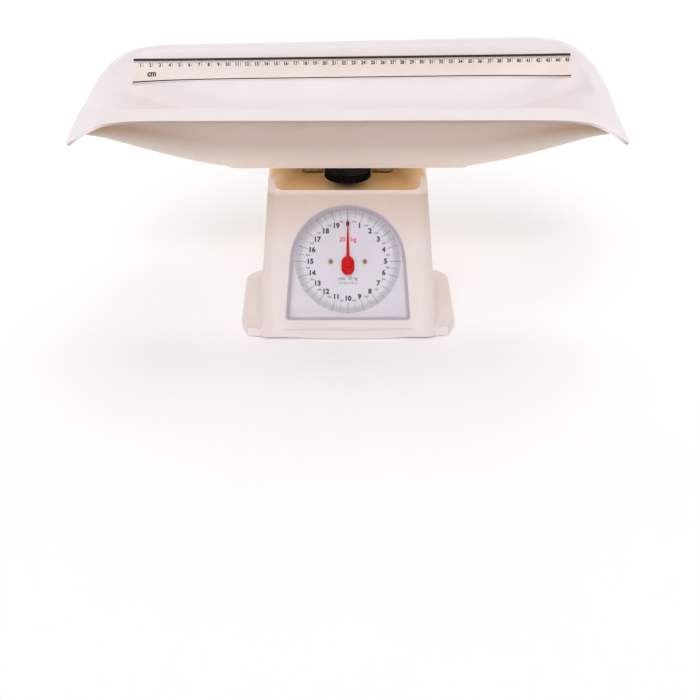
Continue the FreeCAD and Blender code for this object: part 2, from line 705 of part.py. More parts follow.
def build_shaft():
    """Shaft with the small collar that stops it against the front bush."""
    shaft = rod("ShaftRod", (0, 0, "-shaft_back"), "shaft_radius", "shaft_back - shaft_front")
    collar = rod("ShaftCollar", (0, 0, -14.2), 1.8, 1)
    node("pointer_shaft", on_face(join("PointerShaft", [shaft, collar])))


def build_pinion():
    """Brass pinion of ten teeth: a hub and one tooth patterned round it."""
    body = doc.addObject("PartDesign::Body", "Pinion")
    hub = sketch_on(body, "PinionHub", "-pinion_back")
    circle(hub, "hub", 0, 0, "pitch_radius - 0.6")
    circle(hub, "bore", 0, 0, "shaft_radius")
    pad(body, "Hub", hub, "pinion_width")
    tooth = sketch_on(body, "PinionTooth", "-pinion_back")
    root = "pitch_radius - 0.75"
    tip = "pitch_radius + 0.4"
    outline(tooth, [(root, -0.42), (tip, -0.14), (tip, 0.14), (root, 0.42)])
    tooth_pad = pad(body, "Tooth", tooth, "pinion_width")
    ring = body.newObject("PartDesign::PolarPattern", "Teeth")
    ring.Originals = [tooth_pad]
    axis = next(f for f in body.Origin.OriginFeatures if f.Role == "Z_Axis")
    ring.Axis = (axis, [""])
    ring.Angle = 360
    bind(ring, "Occurrences", "pin_teeth")
    body.Tip = ring
    node("pinion", on_face(body))


def build_rack():
    """Rack: toothed strip square to the shaft, its stem and the tab under the spring bar."""
    line = read("pitch_radius")
    pitch = 2 * math.pi * line / read("pin_teeth")
    low = -4.5 * pitch
    back = 6.2
    stem_x = 3.05
    points = [Vector(back, low, 0), Vector(line + 0.55, low, 0)]
    for i in range(RACK_TEETH):
        middle = low + (i + 1) * pitch
        for step, x in ((-0.46, 0.55), (-0.17, -0.35), (0.17, -0.35), (0.46, 0.55)):
            points.append(Vector(line + x, middle + step, 0))
    top = low + (RACK_TEETH + 1) * pitch
    points += [Vector(line + 0.55, top, 0), Vector(back, top, 0)]
    strip = Part.Face(Part.makePolygon(points + points[:1]))
    strip = strip.extrude(Vector(0, 0, read("rack_width")))
    stem_low = Vector(stem_x, low - 21, 0)
    strip = strip.fuse(Part.makeBox(back - stem_x, 22, read("rack_width"), stem_low))
    strip.translate(Vector(0, 0, -read("rack_back")))
    strip.Placement = face_placement().multiply(strip.Placement)
    tab_low = read("bar_low") - 2
    tab = Part.makeBox(9, 34, 2, Vector(stem_x, -46.5, tab_low))
    tab = tab.cut(Part.makeCylinder(1.3, 6, Vector(read("rack_screw_x"), read("knob_y"), tab_low - 2)))
    whole = strip.fuse(tab)
    below = Part.makeBox(40, 80, 40, Vector(-20, -80, tab_low - 40))
    node("rack", feature("Rack", whole.cut(below).removeSplitter()))
    head = rod("RackScrewHead", ("rack_screw_x", "knob_y", "bar_low - 3.4"), 2.4, 1.4)
    shank = rod("RackScrewShank", ("rack_screw_x", "knob_y", "bar_low - 2.1"), 1.25, 5)
    node("rack_screw", join("RackScrew", [head, shank]))


# ---------------------------------------------------------------------------------------------
# Zero setting: knob, screw, yoke and springs
# ---------------------------------------------------------------------------------------------
def build_zero_knob():
    """Black hand wheel with a fluted rim, pressed on the head of the zero screw."""
    body = doc.addObject("PartDesign::Body", "ZeroKnob")
    disc = sketch_on(body, "KnobDisc", "knob_low")
    circle(disc, "rim", 0, "knob_y", "knob_radius")
    disc_pad = pad(body, "Disc", disc, "knob_height")
    doc.recompute()
    rims = [f"Edge{i + 1}" for i, edge in enumerate(disc_pad.Shape.Edges)
            if isinstance(edge.Curve, Part.Circle)]
    soft = body.newObject("PartDesign::Chamfer", "RimChamfer")
    soft.Base = (disc_pad, rims)
    soft.Size = 0.8
    hub = sketch_on(body, "KnobHub", "knob_low - 5")
    circle(hub, "hub", 0, "knob_y", 5)
    pad(body, "Hub", hub, 5.5)
    flutes = sketch_on(body, "KnobFlute", "knob_low - 1")
    for i in range(KNOB_FLUTES):
        turn = f"{360 * i / KNOB_FLUTES} * 1deg"
        circle(flutes, f"flute{i}", f"(knob_radius + 0.4) * cos({turn})",
               f"knob_y + (knob_radius + 0.4) * sin({turn})", 0.95)
    pocket(body, "Flutes", flutes, "knob_height + 2")
    bore = sketch_on(body, "KnobBore", "knob_low - 6")
    circle(bore, "bore", 0, "knob_y", "screw_radius")
    pocket(body, "ScrewBore", bore, 10)
    node("zero_knob", body)


def build_zero_screw():
    """Zero screw with its thrust collar above the bridge and the clip ring below it."""
    rod_part = rod("ZeroRod", (0, "knob_y", "screw_low"), "screw_radius", "knob_low + 4 - screw_low")
    collar_low = "bridge_low + frame_sheet + play"
    collar = rod("ZeroCollar", (0, "knob_y", collar_low), 6, 2)
    clip = rod("ZeroClip", (0, "knob_y", "bridge_low - 1.3"), 4.2, 1.2)
    node("zero_screw", join("ZeroScrew", [rod_part, collar]))
    bore = rod("ZeroClipBore", (0, "knob_y", "bridge_low - 3"), "screw_radius", 5)
    node("zero_screw_clip", cut("ZeroScrewClip", clip, [bore]))


def build_yoke():
    """Bar that hangs on the zero screw's thread and holds the upper spring eyes."""
    bar = box("YokeBar", (-29, "knob_y - 5", "yoke_low"), (58, 10, "yoke_height"))
    tongue = box("YokeTongue", (-12, "knob_y", "yoke_low"), (24, 20, "yoke_height"))
    bores = [rod("YokeBore", (0, "knob_y", "yoke_low - 2"), 4, 8)]
    for hand, side in SIDES.items():
        start = (f"{side} * spring_x", "knob_y", "yoke_low - 2")
        bores.append(rod(f"YokeEye_{hand}", start, 1.2, 8))
    node("spring_yoke", cut("SpringYoke", join("YokeBlank", [bar, tongue]), bores))
    barrel = rod("NutBarrel", (0, "knob_y", "yoke_low - 1"), 4, "yoke_height + 1")
    flange = rod("NutFlange", (0, "knob_y", "yoke_low - 3"), 6.5, 3)
    bore = rod("NutBore", (0, "knob_y", "yoke_low - 5"), "screw_radius + play", 14)
    node("yoke_nut", cut("YokeNut", join("NutBlank", [barrel, flange]), [bore]))


def spring_shape(x):
    """Close-wound extension spring with a straight eye shank at each end."""
    low = read("bar_low") + 6
    high = read("yoke_low") - 2
    coil_low = low + 2
    coil_high = high - 2
    pitch = (coil_high - coil_low) / SPRING_TURNS
    radius = read("spring_radius")
    wire = read("wire_radius")
    helix = Part.makeLongHelix(pitch, coil_high - coil_low, radius)
    profile = Part.Wire(Part.makeCircle(wire, Vector(radius, 0, 0), Vector(0, 1, 0)))
    coil = helix.makePipeShell([profile], True, True)
    coil.translate(Vector(x, read("knob_y"), coil_low))
    ends = []
    lower_run = coil_low - read("bar_low") - 1
    upper_run = read("yoke_low") + 2 - coil_high
    for height, direction, run in ((coil_low, -1, lower_run), (coil_high, 1, upper_run)):
        start = Vector(x, read("knob_y"), height)
        ends.append(Part.makeCylinder(wire, run, start, Vector(0, 0, direction)))
        spoke = Vector(x - wire / 2, read("knob_y"), height)
        ends.append(Part.makeCylinder(wire, radius + wire / 2, spoke, Vector(1, 0, 0)))
    return coil.fuse(ends)


def build_springs():
    for hand, side in SIDES.items():
        shape = spring_shape(side * read("spring_x"))
        node(f"{hand}_main_spring", feature(f"Spring_{hand}", shape))


# ---------------------------------------------------------------------------------------------
# Carrier and platform
# ---------------------------------------------------------------------------------------------
def build_carrier():
    """Stamped carrier: two posts, a web between them, side plates and the spring bar."""
    half = "post_width / 2"
    foot = "bar_low - 10"
    reach = "post_y + post_depth / 2"
    pieces = [box("SpringBar", (-35, "knob_y - 3", "bar_low"), (70, 6, 4)),
              box("PostWeb", (-30, "post_y - post_depth / 2", 56), (60, "post_depth", 34))]
    holes = []
    pin_reach = "link_y - link_length * cos(link_tilt * 1deg)"
    pin_rise = "link_length * sin(link_tilt * 1deg)"
    for hand, side, plate_x in (("left", -1, -36.5), ("right", 1, 34.5)):
        low = (f"{side} * post_x - {half}", "post_y - post_depth / 2", foot)
        span = ("post_width", "post_depth", f"platform_low - ({foot})")
        pieces.append(box(f"Post_{hand}", low, span))
        tab = (f"{side} * post_x - 7.5", "post_y - 12", "platform_low - frame_sheet")
        pieces.append(box(f"PostTab_{hand}", tab, (15, 13.25, "frame_sheet")))
        for level, front, base, tall in (("lower", -18.4, foot, 16), ("upper", -5, 106, 15)):
            span = ("frame_sheet", f"{reach} - ({front})", tall)
            pieces.append(box(f"SidePlate_{level}_{hand}", (plate_x, front, base), span))
            corner = (plate_x - 1, f"{pin_reach} - 2.7", f"{level}_link_z + {pin_rise} - 1.9")
            holes.append(box(f"PinSlot_{level}_{hand}", corner, (5, 4.9, 3.8)))
        start = (f"{side} * post_x", "post_y - 6", "platform_low - 6")
        holes.append(rod(f"TabHole_{hand}", start, 1.8, 12))
        start = (f"{side} * spring_x", "knob_y", "bar_low - 2")
        holes.append(rod(f"BarEye_{hand}", start, 1.2, 8))
    holes.append(rod("RackTap", ("rack_screw_x", "knob_y", "bar_low - 2"), 1.3, 8))
    node("carrier_frame", cut("CarrierFrame", join("CarrierSheet", pieces), holes))

    screws = []
    for hand, side in SIDES.items():
        x = f"{side} * post_x"
        head = rod(f"PostScrewHead_{hand}", (x, "post_y - 6", "platform_low - 4"), 3, 2)
        shank = rod(f"PostScrewShank_{hand}", (x, "post_y - 6", "platform_low - 2.1"), 1.7, 4.3)
        screws.append(join(f"PostScrew_{hand}", [head, shank]))
    node("post_screws", bunch("PostScrews", screws))


def build_platform():
    """Platform plate with rounded corners, screwed to the posts, and the four tray screws."""
    body = doc.addObject("PartDesign::Body", "Platform")
    sketch = sketch_on(body, "PlatformOutline", "platform_low")
    outline(sketch, corners_of("plate_half_x", "-plate_half_y", "plate_half_y"))
    screws = []
    for hand, side in SIDES.items():
        circle(sketch, f"post_{hand}", f"{side} * post_x", "post_y - 6", 1.8)
        for end, fore in ENDS.items():
            tag = f"_{end}_{hand}"
            x, y = side * TRAY_SCREW_X, fore * TRAY_SCREW_Y
            circle(sketch, "tray" + tag, x, y, 1.9)
            head = rod("TrayScrewHead" + tag, (x, y, "platform_low - 1.8"), 3.5, 1.8)
            shank = rod("TrayScrewShank" + tag, (x, y, "platform_low - 0.1"), 1.8, 4.9)
            screws.append(join("TrayScrew" + tag, [head, shank]))
    node("tray_screws", bunch("TrayScrews", screws))
    slab = pad(body, "PlatformSheet", sketch, "platform_height")
    doc.recompute()
    corners = [f"Edge{i + 1}" for i, edge in enumerate(slab.Shape.Edges)
               if edge.BoundBox.ZLength > 1 and abs(edge.CenterOfMass.x) > read("plate_half_x") - 1]
    soft = body.newObject("PartDesign::Fillet", "PlatformCorners")
    soft.Base = (slab, corners)
    soft.Radius = 9
    doc.recompute()
    low_edges = [f"Edge{i + 1}" for i, edge in enumerate(soft.Shape.Edges)
                 if edge.BoundBox.ZMax < read("platform_low") + 0.01
                 and not (isinstance(edge.Curve, Part.Circle) and edge.Curve.Radius < 3)]
    roll = body.newObject("PartDesign::Fillet", "PlatformUnderEdge")
    roll.Base = (soft, low_edges)
    roll.Radius = 1.4
    node("platform", body)


# ---------------------------------------------------------------------------------------------
# Tray and printed rule
# ---------------------------------------------------------------------------------------------
def quarter_outline(half_x, half_y, straight, square):
    """Quarter outline from the end's middle round the corner to the side's middle."""
    fine = [i * math.pi / 2 / 300 for i in range(301)]
    points = [(straight + (half_x - straight) * abs(math.cos(a)) ** (2 / square),
               half_y * math.sin(a) ** (2 / square)) for a in fine]
    lengths = [0]
    for (x0, y0), (x1, y1) in zip(points, points[1:]):
        lengths.append(lengths[-1] + math.hypot(x1 - x0, y1 - y0))
    evenly = []
    j = 0
    for i in range(CORNER_STEPS + 1):
        target = lengths[-1] * i / CORNER_STEPS
        while j < len(lengths) - 2 and lengths[j + 1] < target:
            j += 1
        share = (target - lengths[j]) / (lengths[j + 1] - lengths[j])
        evenly.append(tuple(a + (b - a) * share for a, b in zip(points[j], points[j + 1])))
    return evenly + [(straight * (1 - i / SIDE_STEPS), half_y) for i in range(1, SIDE_STEPS + 1)]


def share_between(value, low, high):
    return min(1, max(0, (value - low) / (high - low)))


def tray_height(x, y):
    """Height of the tray's underside inside its crest, and how far up the wall that is."""
    crest_x = read("tray_half_x") - read("rim_end")
    crest_y = read("tray_half_y") - read("rim_width")
    square = read("tray_square")
    end_z = read("tray_end_z") + read("rim_fall_end")
    side_z = read("tray_rim_z") + read("rim_fall")
    floor_z = read("platform_low") + read("platform_height")
    turn = share_between(x, read("tray_straight"), crest_x)
    crest_here = max(crest_y * (1 - turn ** square) ** (1 / square), 0.001)
    floor_here = crest_here * read("floor_half_y") / crest_y
    out = share_between(abs(y), floor_here, crest_here)
    up = 1 - math.cos(math.asin(out ** (1 / WALL_CURVE))) ** 0.9
    crest_z = side_z + (end_z - side_z) * rim_dip(x, crest_x)
    ramp = share_between(x, read("floor_half_x"), crest_x) ** read("ramp_curve")
    ramp_z = floor_z + (end_z - floor_z) * ramp
    return ramp_z + (crest_z - ramp_z) * up, up


def rim_dip(x, half):
    """How far the rim has fallen towards the end, from 0 to 1."""
    return share_between(x, read("tray_dip_x"), half) ** read("tray_dip_power")


def head_lift(x, y, up):
    """Extra height of the rear wall towards the head end."""
    return read("head_rise") * up * x / HEAD_RISE_X * share_between(y, 0, 60)


def full_loop(quarter):
    """Mirror quarter points (x, y, z, share up the wall) into one closed ring of points."""
    spots = []
    turns = ((1, 1, quarter[:-1]), (-1, 1, quarter[:0:-1]),
             (-1, -1, quarter[:-1]), (1, -1, quarter[:0:-1]))
    for sign_x, sign_y, part in turns:
        for x, y, z, up in part:
            x, y = sign_x * x, sign_y * y
            spots.append(Vector(x, y, z + head_lift(x, y, up)))
    return spots


def tray_rings():
    """Rings of the tray's outer surface, from the floor's edge up the wall and over the rim."""
    rim_half_x, rim_half_y = read("tray_half_x"), read("tray_half_y")
    rim, square, straight = read("rim_width"), read("tray_square"), read("tray_straight")
    crest_x, crest_y = rim_half_x - read("rim_end"), rim_half_y - rim
    floor_x, floor_y = read("floor_half_x"), read("floor_half_y")
    side_z, end_z = read("tray_rim_z"), read("tray_end_z")
    corner = crest_x - straight
    rings = []
    for degrees in WALL_STEPS:
        share = math.sin(math.radians(degrees)) ** WALL_CURVE
        half_x = floor_x + (crest_x - floor_x) * share
        half_y = floor_y + (crest_y - floor_y) * share
        spots = quarter_outline(half_x, half_y, half_x - corner, square)
        rings.append(full_loop([(x, y) + tray_height(x, y) for x, y in spots]))
    crest = [(x, y, tray_height(x, y)[0])
             for x, y in quarter_outline(crest_x, crest_y, straight, square)]
    edge = [(x, y, side_z + (end_z - side_z) * rim_dip(x, rim_half_x))
            for x, y in quarter_outline(rim_half_x, rim_half_y, straight, square)]
    for share in RIM_STEPS:
        quarter = [(cx + (ex - cx) * share, cy + (ey - cy) * share,
                    cz + (ez - cz) * share ** 1.3, 1)
                   for (cx, cy, cz), (ex, ey, ez) in zip(crest, edge)]
        rings.append(full_loop(quarter))
    return rings


def offset_rings(rings, distance):
    """The same rings moved off along the surface's inward and upward normal."""
    moved = []
    count = len(rings[0])
    for level, ring in enumerate(rings):
        below = rings[max(level - 1, 0)]
        above = rings[min(level + 1, len(rings) - 1)]
        spots = []
        for i, spot in enumerate(ring):
            along = ring[(i + 1) % count] - ring[i - 1]
            up = above[i] - below[i]
            normal = Vector(0, 0, 1) if level == 0 else up.cross(along).normalize()
            if level and normal.z < 0:
                normal = normal * -1
            spots.append(spot + normal * distance)
        moved.append(spots)
    return moved


def tray_skin(rings):
    """Smooth closed skin with the rings as its control points."""
    levels = len(rings)
    spots = len(rings[0])
    degree = 3
    spans = levels - degree
    skin = Part.BSplineSurface()
    skin.buildFromPolesMultsKnots(
        rings,
        [degree + 1] + [1] * (spans - 1) + [degree + 1],
        [1] * (spots + 1),
        list(range(spans + 1)),
        list(range(spots + 1)),
        False, True, degree, degree)
    return skin


def build_tray():
    """Tray between its outer and inner skins, and the printed strip on its rear wall."""
    outer_rings = tray_rings()
    skins = [tray_skin(outer_rings), tray_skin(offset_rings(outer_rings, read("tray_wall")))]
    faces = [skin.toShape() for skin in skins]
    lows = [Part.Wire(skin.uIso(skin.bounds()[0]).toShape()) for skin in skins]
    highs = [Part.Wire(skin.uIso(skin.bounds()[1]).toShape()) for skin in skins]
    edge = Part.makeLoft(highs, False, True)
    floors = [Part.Face(wire) for wire in lows]
    solid = closed_solid(faces + edge.Faces + floors, 0.02)
    holes = [Part.makeCylinder(1.8, 1.9, Vector(x, y, read("platform_low") + 2.9))
             for x in (-TRAY_SCREW_X, TRAY_SCREW_X) for y in (-TRAY_SCREW_Y, TRAY_SCREW_Y)]
    node("baby_tray", feature("BabyTray", solid.cut(holes)))
    node("length_rule", feature("LengthRule", rule_shape()))


def wall_point(x, height, stand_off):
    """Point over the rear wall's inner face at one height of the wall, a little in front of it."""
    low, high = 0, read("tray_half_y") - read("rim_width")
    for _ in range(40):
        middle = (low + high) / 2
        z, up = tray_height(abs(x), middle)
        if z + head_lift(x, middle, up) < height:
            low = middle
        else:
            high = middle
    step = 0.5
    z, up = tray_height(abs(x), low)
    back, back_up = tray_height(abs(x), low - step)
    slope = (z - back + head_lift(x, low, up) - head_lift(x, low - step, back_up)) / step
    normal = Vector(0, -slope, 1).normalize()
    return Vector(x, low, height) + normal * (read("tray_wall") + stand_off)


def closed_solid(faces, gap):
    """Solid from faces that meet along their edges."""
    skin = Part.makeCompound(faces)
    skin.sewShape(gap)
    solid = Part.makeSolid(skin.Shells[0])
    if solid.Volume < 0:
        solid.reverse()
    return solid


def rule_shape():
    """Thin printed strip that follows the inner face of the rear wall."""
    columns = 30
    rows = 6
    near, far = [], []
    rise = (read("rule_high") - read("rule_low")) / rows
    for i in range(columns + 1):
        x = read("rule_middle") + read("rule_half") * (2 * i / columns - 1)
        lift = 0.6 * read("head_rise") * x / HEAD_RISE_X
        heights = [read("rule_low") + lift + rise * j for j in range(rows + 1)]
        far.append([wall_point(x, height, 0.5) for height in heights])
        near.append([wall_point(x, height, 0.9) for height in heights])
    sides = []
    for grid in (near, far):
        surface = Part.BSplineSurface()
        surface.interpolate(grid)
        sides.append(surface)
    faces = [surface.toShape() for surface in sides]
    u_first, u_last, v_first, v_last = sides[0].bounds()
    rims = [[surface.uIso(u) for surface in sides] for u in (u_first, u_last)]
    rims += [[surface.vIso(v) for surface in sides] for v in (v_first, v_last)]
    for pair in rims:
        faces += Part.makeLoft([Part.Wire(curve.toShape()) for curve in pair], False, True).Faces
    return closed_solid(faces, 0.05)


# ---------------------------------------------------------------------------------------------
# Assembly
# ---------------------------------------------------------------------------------------------
build_casing()
build_base()
build_chassis()
build_link("upper")
build_link("lower")
build_dial_plate()
build_pointer_bracket()
build_bushes()
build_dial_screws()
build_pointer()
build_shaft()
build_pinion()
build_rack()
build_zero_knob()
build_zero_screw()
build_yoke()
build_springs()
build_carrier()
build_platform()
build_tray()
doc.recompute()

for item in doc.Objects:
    if "Invalid" in item.State or "Error" in item.State:
        raise RuntimeError(f"{item.Label} failed: {item.State}")
for name, item in nodes.items():
    if item.Shape.isNull() or not item.Shape.isValid():
        raise RuntimeError(f"{name} has no valid shape")

os.makedirs("parts", exist_ok=True)
for name, item in nodes.items():
    item.Shape.exportStep(f"parts/{name}.step")
    print(f"{name:22s} {len(item.Shape.Solids)} solids {item.Shape.Volume:12.1f} mm3")
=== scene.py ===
import json
import math

import bmesh
import bpy
from mathutils import Matrix, Vector
from mathutils.bvhtree import BVHTree


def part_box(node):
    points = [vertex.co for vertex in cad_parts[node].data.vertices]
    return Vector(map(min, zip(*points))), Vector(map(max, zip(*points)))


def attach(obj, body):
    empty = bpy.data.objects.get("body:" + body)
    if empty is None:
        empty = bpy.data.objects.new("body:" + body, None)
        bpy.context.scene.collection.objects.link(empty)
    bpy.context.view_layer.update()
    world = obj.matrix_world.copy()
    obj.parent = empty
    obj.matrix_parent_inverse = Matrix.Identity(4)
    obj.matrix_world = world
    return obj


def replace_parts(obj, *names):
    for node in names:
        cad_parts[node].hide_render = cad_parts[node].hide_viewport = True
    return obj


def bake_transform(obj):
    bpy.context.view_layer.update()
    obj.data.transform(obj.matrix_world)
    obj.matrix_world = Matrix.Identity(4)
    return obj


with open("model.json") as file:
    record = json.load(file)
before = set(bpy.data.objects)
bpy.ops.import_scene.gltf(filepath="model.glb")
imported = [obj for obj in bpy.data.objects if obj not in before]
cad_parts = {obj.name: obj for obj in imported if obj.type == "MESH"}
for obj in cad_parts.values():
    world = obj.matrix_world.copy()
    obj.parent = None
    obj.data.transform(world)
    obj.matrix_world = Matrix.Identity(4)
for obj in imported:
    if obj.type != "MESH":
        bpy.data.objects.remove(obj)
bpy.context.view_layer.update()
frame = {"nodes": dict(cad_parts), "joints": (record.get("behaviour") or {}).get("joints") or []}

# Looks of the mechanical dial baby scale. Metres throughout, in the frame of the CAD model.
MM = 0.001
WHITE = (1, 1, 1, 1)
NODES = frame["nodes"]
JOINTS = {joint["name"]: joint for joint in frame["joints"]}
scene = bpy.context.scene


# ---------------------------------------------------------------------------------------------
# Materials
# ---------------------------------------------------------------------------------------------
def linear(red, green, blue):
    """An sRGB colour, 0 to 255 a channel, as the linear values that shaders take."""
    channels = []
    for value in (red, green, blue):
        share = value / 255
        channels.append(share / 12.92 if share <= 0.04045 else ((share + 0.055) / 1.055) ** 2.4)
    return (*channels, 1.0)


# Places of the colour sockets on a Mix node
MIX_FIRST, MIX_SECOND, MIX_RESULT = 6, 7, 2


class Shade:
    """A Principled material with its nodes in the part's own space."""

    def __init__(self, name, roughness=0.4, **sockets):
        self.material = bpy.data.materials.new(name)
        self.material.use_nodes = True
        self.tree = self.material.node_tree
        self.shader = self.tree.nodes["Principled BSDF"]
        self.shader.inputs["Roughness"].default_value = roughness
        for socket, value in sockets.items():
            self.shader.inputs[socket.replace("_", " ")].default_value = value
        self.space = self.tree.nodes.new("ShaderNodeTexCoord").outputs["Object"]

    def add(self, kind, **settings):
        node = self.tree.nodes.new(kind)
        for key, value in settings.items():
            setattr(node, key, value)
        return node

    def link(self, start, end):
        self.tree.links.new(start, end)

    def feed(self, socket, value):
        """Link a socket to another node's output, or set it to a constant."""
        if isinstance(value, bpy.types.NodeSocket):
            self.link(value, socket)
        else:
            socket.default_value = value

    def noise(self, scale, detail=4, roughness=0.55, stretch=None):
        """Noise with features about 1/scale metres across, 0 to 1."""
        node = self.add("ShaderNodeTexNoise")
        node.inputs["Scale"].default_value = scale
        node.inputs["Detail"].default_value = detail
        node.inputs["Roughness"].default_value = roughness
        source = self.space
        if stretch:
            mapping = self.add("ShaderNodeMapping")
            mapping.inputs["Scale"].default_value = stretch
            self.link(source, mapping.inputs["Vector"])
            source = mapping.outputs["Vector"]
        self.link(source, node.inputs["Vector"])
        return node.outputs["Fac"]

    def ramp(self, source, stops):
        """Colour ramp from pairs of place and colour."""
        node = self.add("ShaderNodeValToRGB")
        points = node.color_ramp.elements
        while len(points) < len(stops):
            points.new(0.5)
        for point, (place, colour) in zip(points, stops):
            point.position = place
            point.color = colour
        self.link(source, node.inputs["Fac"])
        return node.outputs["Color"]

    def spread(self, source, low, high):
        """Noise, which keeps mostly to 0.3 to 0.7, mapped to between low and high."""
        node = self.add("ShaderNodeMapRange")
        node.inputs["From Min"].default_value = 0.3
        node.inputs["From Max"].default_value = 0.7
        node.inputs["To Min"].default_value = low
        node.inputs["To Max"].default_value = high
        self.link(source, node.inputs["Value"])
        return node.outputs["Result"]

    def mix(self, share, first, second):
        """The first colour, with that share of the second."""
        node = self.add("ShaderNodeMix", data_type="RGBA")
        self.feed(node.inputs["Factor"], share)
        self.feed(node.inputs[MIX_FIRST], first)
        self.feed(node.inputs[MIX_SECOND], second)
        return node.outputs[MIX_RESULT]

    def tinted(self, source, tint, share=1.0):
        """A colour multiplied by a tint, by that share."""
        node = self.add("ShaderNodeMix", data_type="RGBA", blend_type="MULTIPLY")
        self.feed(node.inputs["Factor"], share)
        self.link(source, node.inputs[MIX_FIRST])
        self.link(tint, node.inputs[MIX_SECOND])
        return node.outputs[MIX_RESULT]

    def between(self, source, low, high):
        """A value mapped so that low becomes 0 and high becomes 1."""
        node = self.add("ShaderNodeMapRange")
        node.inputs["From Min"].default_value = low
        node.inputs["From Max"].default_value = high
        self.link(source, node.inputs["Value"])
        return node.outputs["Result"]

    def axis(self, source, letter):
        """One coordinate, X, Y or Z, of a vector."""
        split = self.add("ShaderNodeSeparateXYZ")
        self.link(source, split.inputs[0])
        return split.outputs[letter]

    def by_height(self, stops):
        """Colour ramp over the height above the table, from pairs of height and colour."""
        low, high = stops[0][0], stops[-1][0]
        places = [((height - low) / (high - low), colour) for height, colour in stops]
        return self.ramp(self.between(self.axis(self.space, "Z"), low, high), places)

    def by_openness(self, stops, reach):
        """Colour ramp over how open the surface is to its surroundings."""
        shelter = self.add("ShaderNodeAmbientOcclusion", samples=6)
        shelter.inputs["Distance"].default_value = reach
        return self.ramp(shelter.outputs["AO"], stops)

    def above(self, height, blend):
        """0 below that height and 1 above it."""
        return self.between(self.axis(self.space, "Z"), height - blend, height + blend)

    def within(self, half_width, blend):
        """1 inside that distance from the centre line, 0 outside it."""
        side = self.add("ShaderNodeMath", operation="ABSOLUTE")
        self.link(self.axis(self.space, "X"), side.inputs[0])
        return self.between(side.outputs[0], half_width + blend, half_width - blend)

    def both(self, first, second):
        """Product of two masks."""
        node = self.add("ShaderNodeMath", operation="MULTIPLY")
        self.link(first, node.inputs[0])
        self.link(second, node.inputs[1])
        return node.outputs[0]

    def facing_down(self):
        """1 where the surface looks down, 0 where it looks sideways or up."""
        normal = self.add("ShaderNodeNewGeometry").outputs["Normal"]
        return self.between(self.axis(normal, "Z"), -0.05, -0.45)

    def round_edges(self, radius):
        """Shade sharp edges as if they were rounded to that radius in metres."""
        node = self.add("ShaderNodeBevel", samples=4)
        node.inputs["Radius"].default_value = radius
        self.link(node.outputs["Normal"], self.shader.inputs["Normal"])

    def colour(self, source):
        self.link(source, self.shader.inputs["Base Color"])

    def rough(self, source):
        self.link(source, self.shader.inputs["Roughness"])

    def bump(self, source, height, strength=1.0):
        """Relief of that height in metres."""
        node = self.add("ShaderNodeBump")
        node.inputs["Strength"].default_value = strength
        node.inputs["Distance"].default_value = height
        self.link(source, node.inputs["Height"])
        last = self.shader.inputs["Normal"]
        if last.is_linked:
            self.link(last.links[0].from_socket, node.inputs["Normal"])
        self.link(node.outputs["Normal"], last)
        return self

    def edges(self):
        """How sharply the surface bends outward, 0.5 where it is flat."""
        return self.add("ShaderNodeNewGeometry").outputs["Pointiness"]


def moulded_plastic(name, light, dark, shelter, roughness, grain, relief):
    """Injection-moulded plastic: faint mottling, satin patches, fine grain and paler edges.
    Its fourth argument paints light and shade into the colour where the piece is enclosed or faces
    down."""
    shade = Shade(name, roughness, IOR=1.5)
    body = shade.ramp(shade.noise(14, 3), [(0.3, dark), (0.7, light)])
    speck = shade.noise(grain, 2, 0.6)
    tone = shade.mix(shade.spread(speck, 0.0, 0.12), body, dark)
    pale = shade.ramp(shade.edges(), [(0.52, (0, 0, 0, 1)), (0.62, (1, 1, 1, 1))])
    edge = tuple(min(1, c * 1.06) for c in light[:3]) + (1,)
    shade.colour(shelter(shade, shade.mix(pale, tone, edge)))
    shade.rough(shade.spread(shade.noise(35, 5), roughness - 0.06, roughness + 0.08))
    shade.round_edges(0.9 * MM)
    shade.bump(speck, relief, 0.6)
    shade.bump(shade.noise(60, 2), 0.00006, 0.35)
    return shade.material


def casing_shelter(shade, tone):
    """Painted light and shade: a warm glow painted into the recess, painted shade that turns the slots
    near black, and a painted shadow of the tray that makes the face darker and warmer near its top.
    """
    # Painted shadow of the tray: darker and warmer towards the top of the face
    face_painted_shadow = [(20 * MM, (1, 1.01, 1.03, 1)), (90 * MM, (0.97, 0.975, 0.98, 1)),
            (139 * MM, (0.80, 0.75, 0.67, 1)), (143 * MM, WHITE)]
    tone = shade.tinted(tone, shade.by_height(face_painted_shadow))
    # Painted warm glow where the recess is enclosed, and painted shade, near black, in the slots
    recess_painted_glow = [(0.05, (1.08, 0.84, 0.34, 1)), (0.45, (1.06, 0.85, 0.55, 1)), (0.85, WHITE)]
    slot_painted_shade = [(0.25, (0.16, 0.05, 0.04, 1)), (0.60, WHITE)]
    recess = shade.both(shade.above(141 * MM, 4 * MM), shade.within(76 * MM, 1.5 * MM))
    tone = shade.tinted(tone, shade.by_openness(slot_painted_shade, 9 * MM), shade.above(135 * MM, 4 * MM))
    return shade.tinted(tone, shade.by_openness(recess_painted_glow, 70 * MM), recess)


def tray_shelter(shade, tone):
    """Painted shade on the underside: warmer and darker where it is enclosed and towards the rim,
    deepest below the rim, with painted bounce light making it palest at the foot of the wall.
    """
    # Painted shade where the underside is enclosed, and a painted shadow of the rim that darkens the
    # wall towards its top
    corners = [(0.25, (0.60, 0.42, 0.31, 1)), (0.95, (0.86, 0.79, 0.70, 1))]
    wall_painted_shade = [(186 * MM, (1.1, 1.08, 1.07, 1)), (212 * MM, (0.78, 0.76, 0.735, 1)),
            (230 * MM, (0.62, 0.48, 0.38, 1)), (244 * MM, (0.48, 0.33, 0.22, 1))]
    down = shade.facing_down()
    tone = shade.tinted(tone, shade.by_openness(corners, 90 * MM), down)
    return shade.tinted(tone, shade.by_height(wall_painted_shade), down)


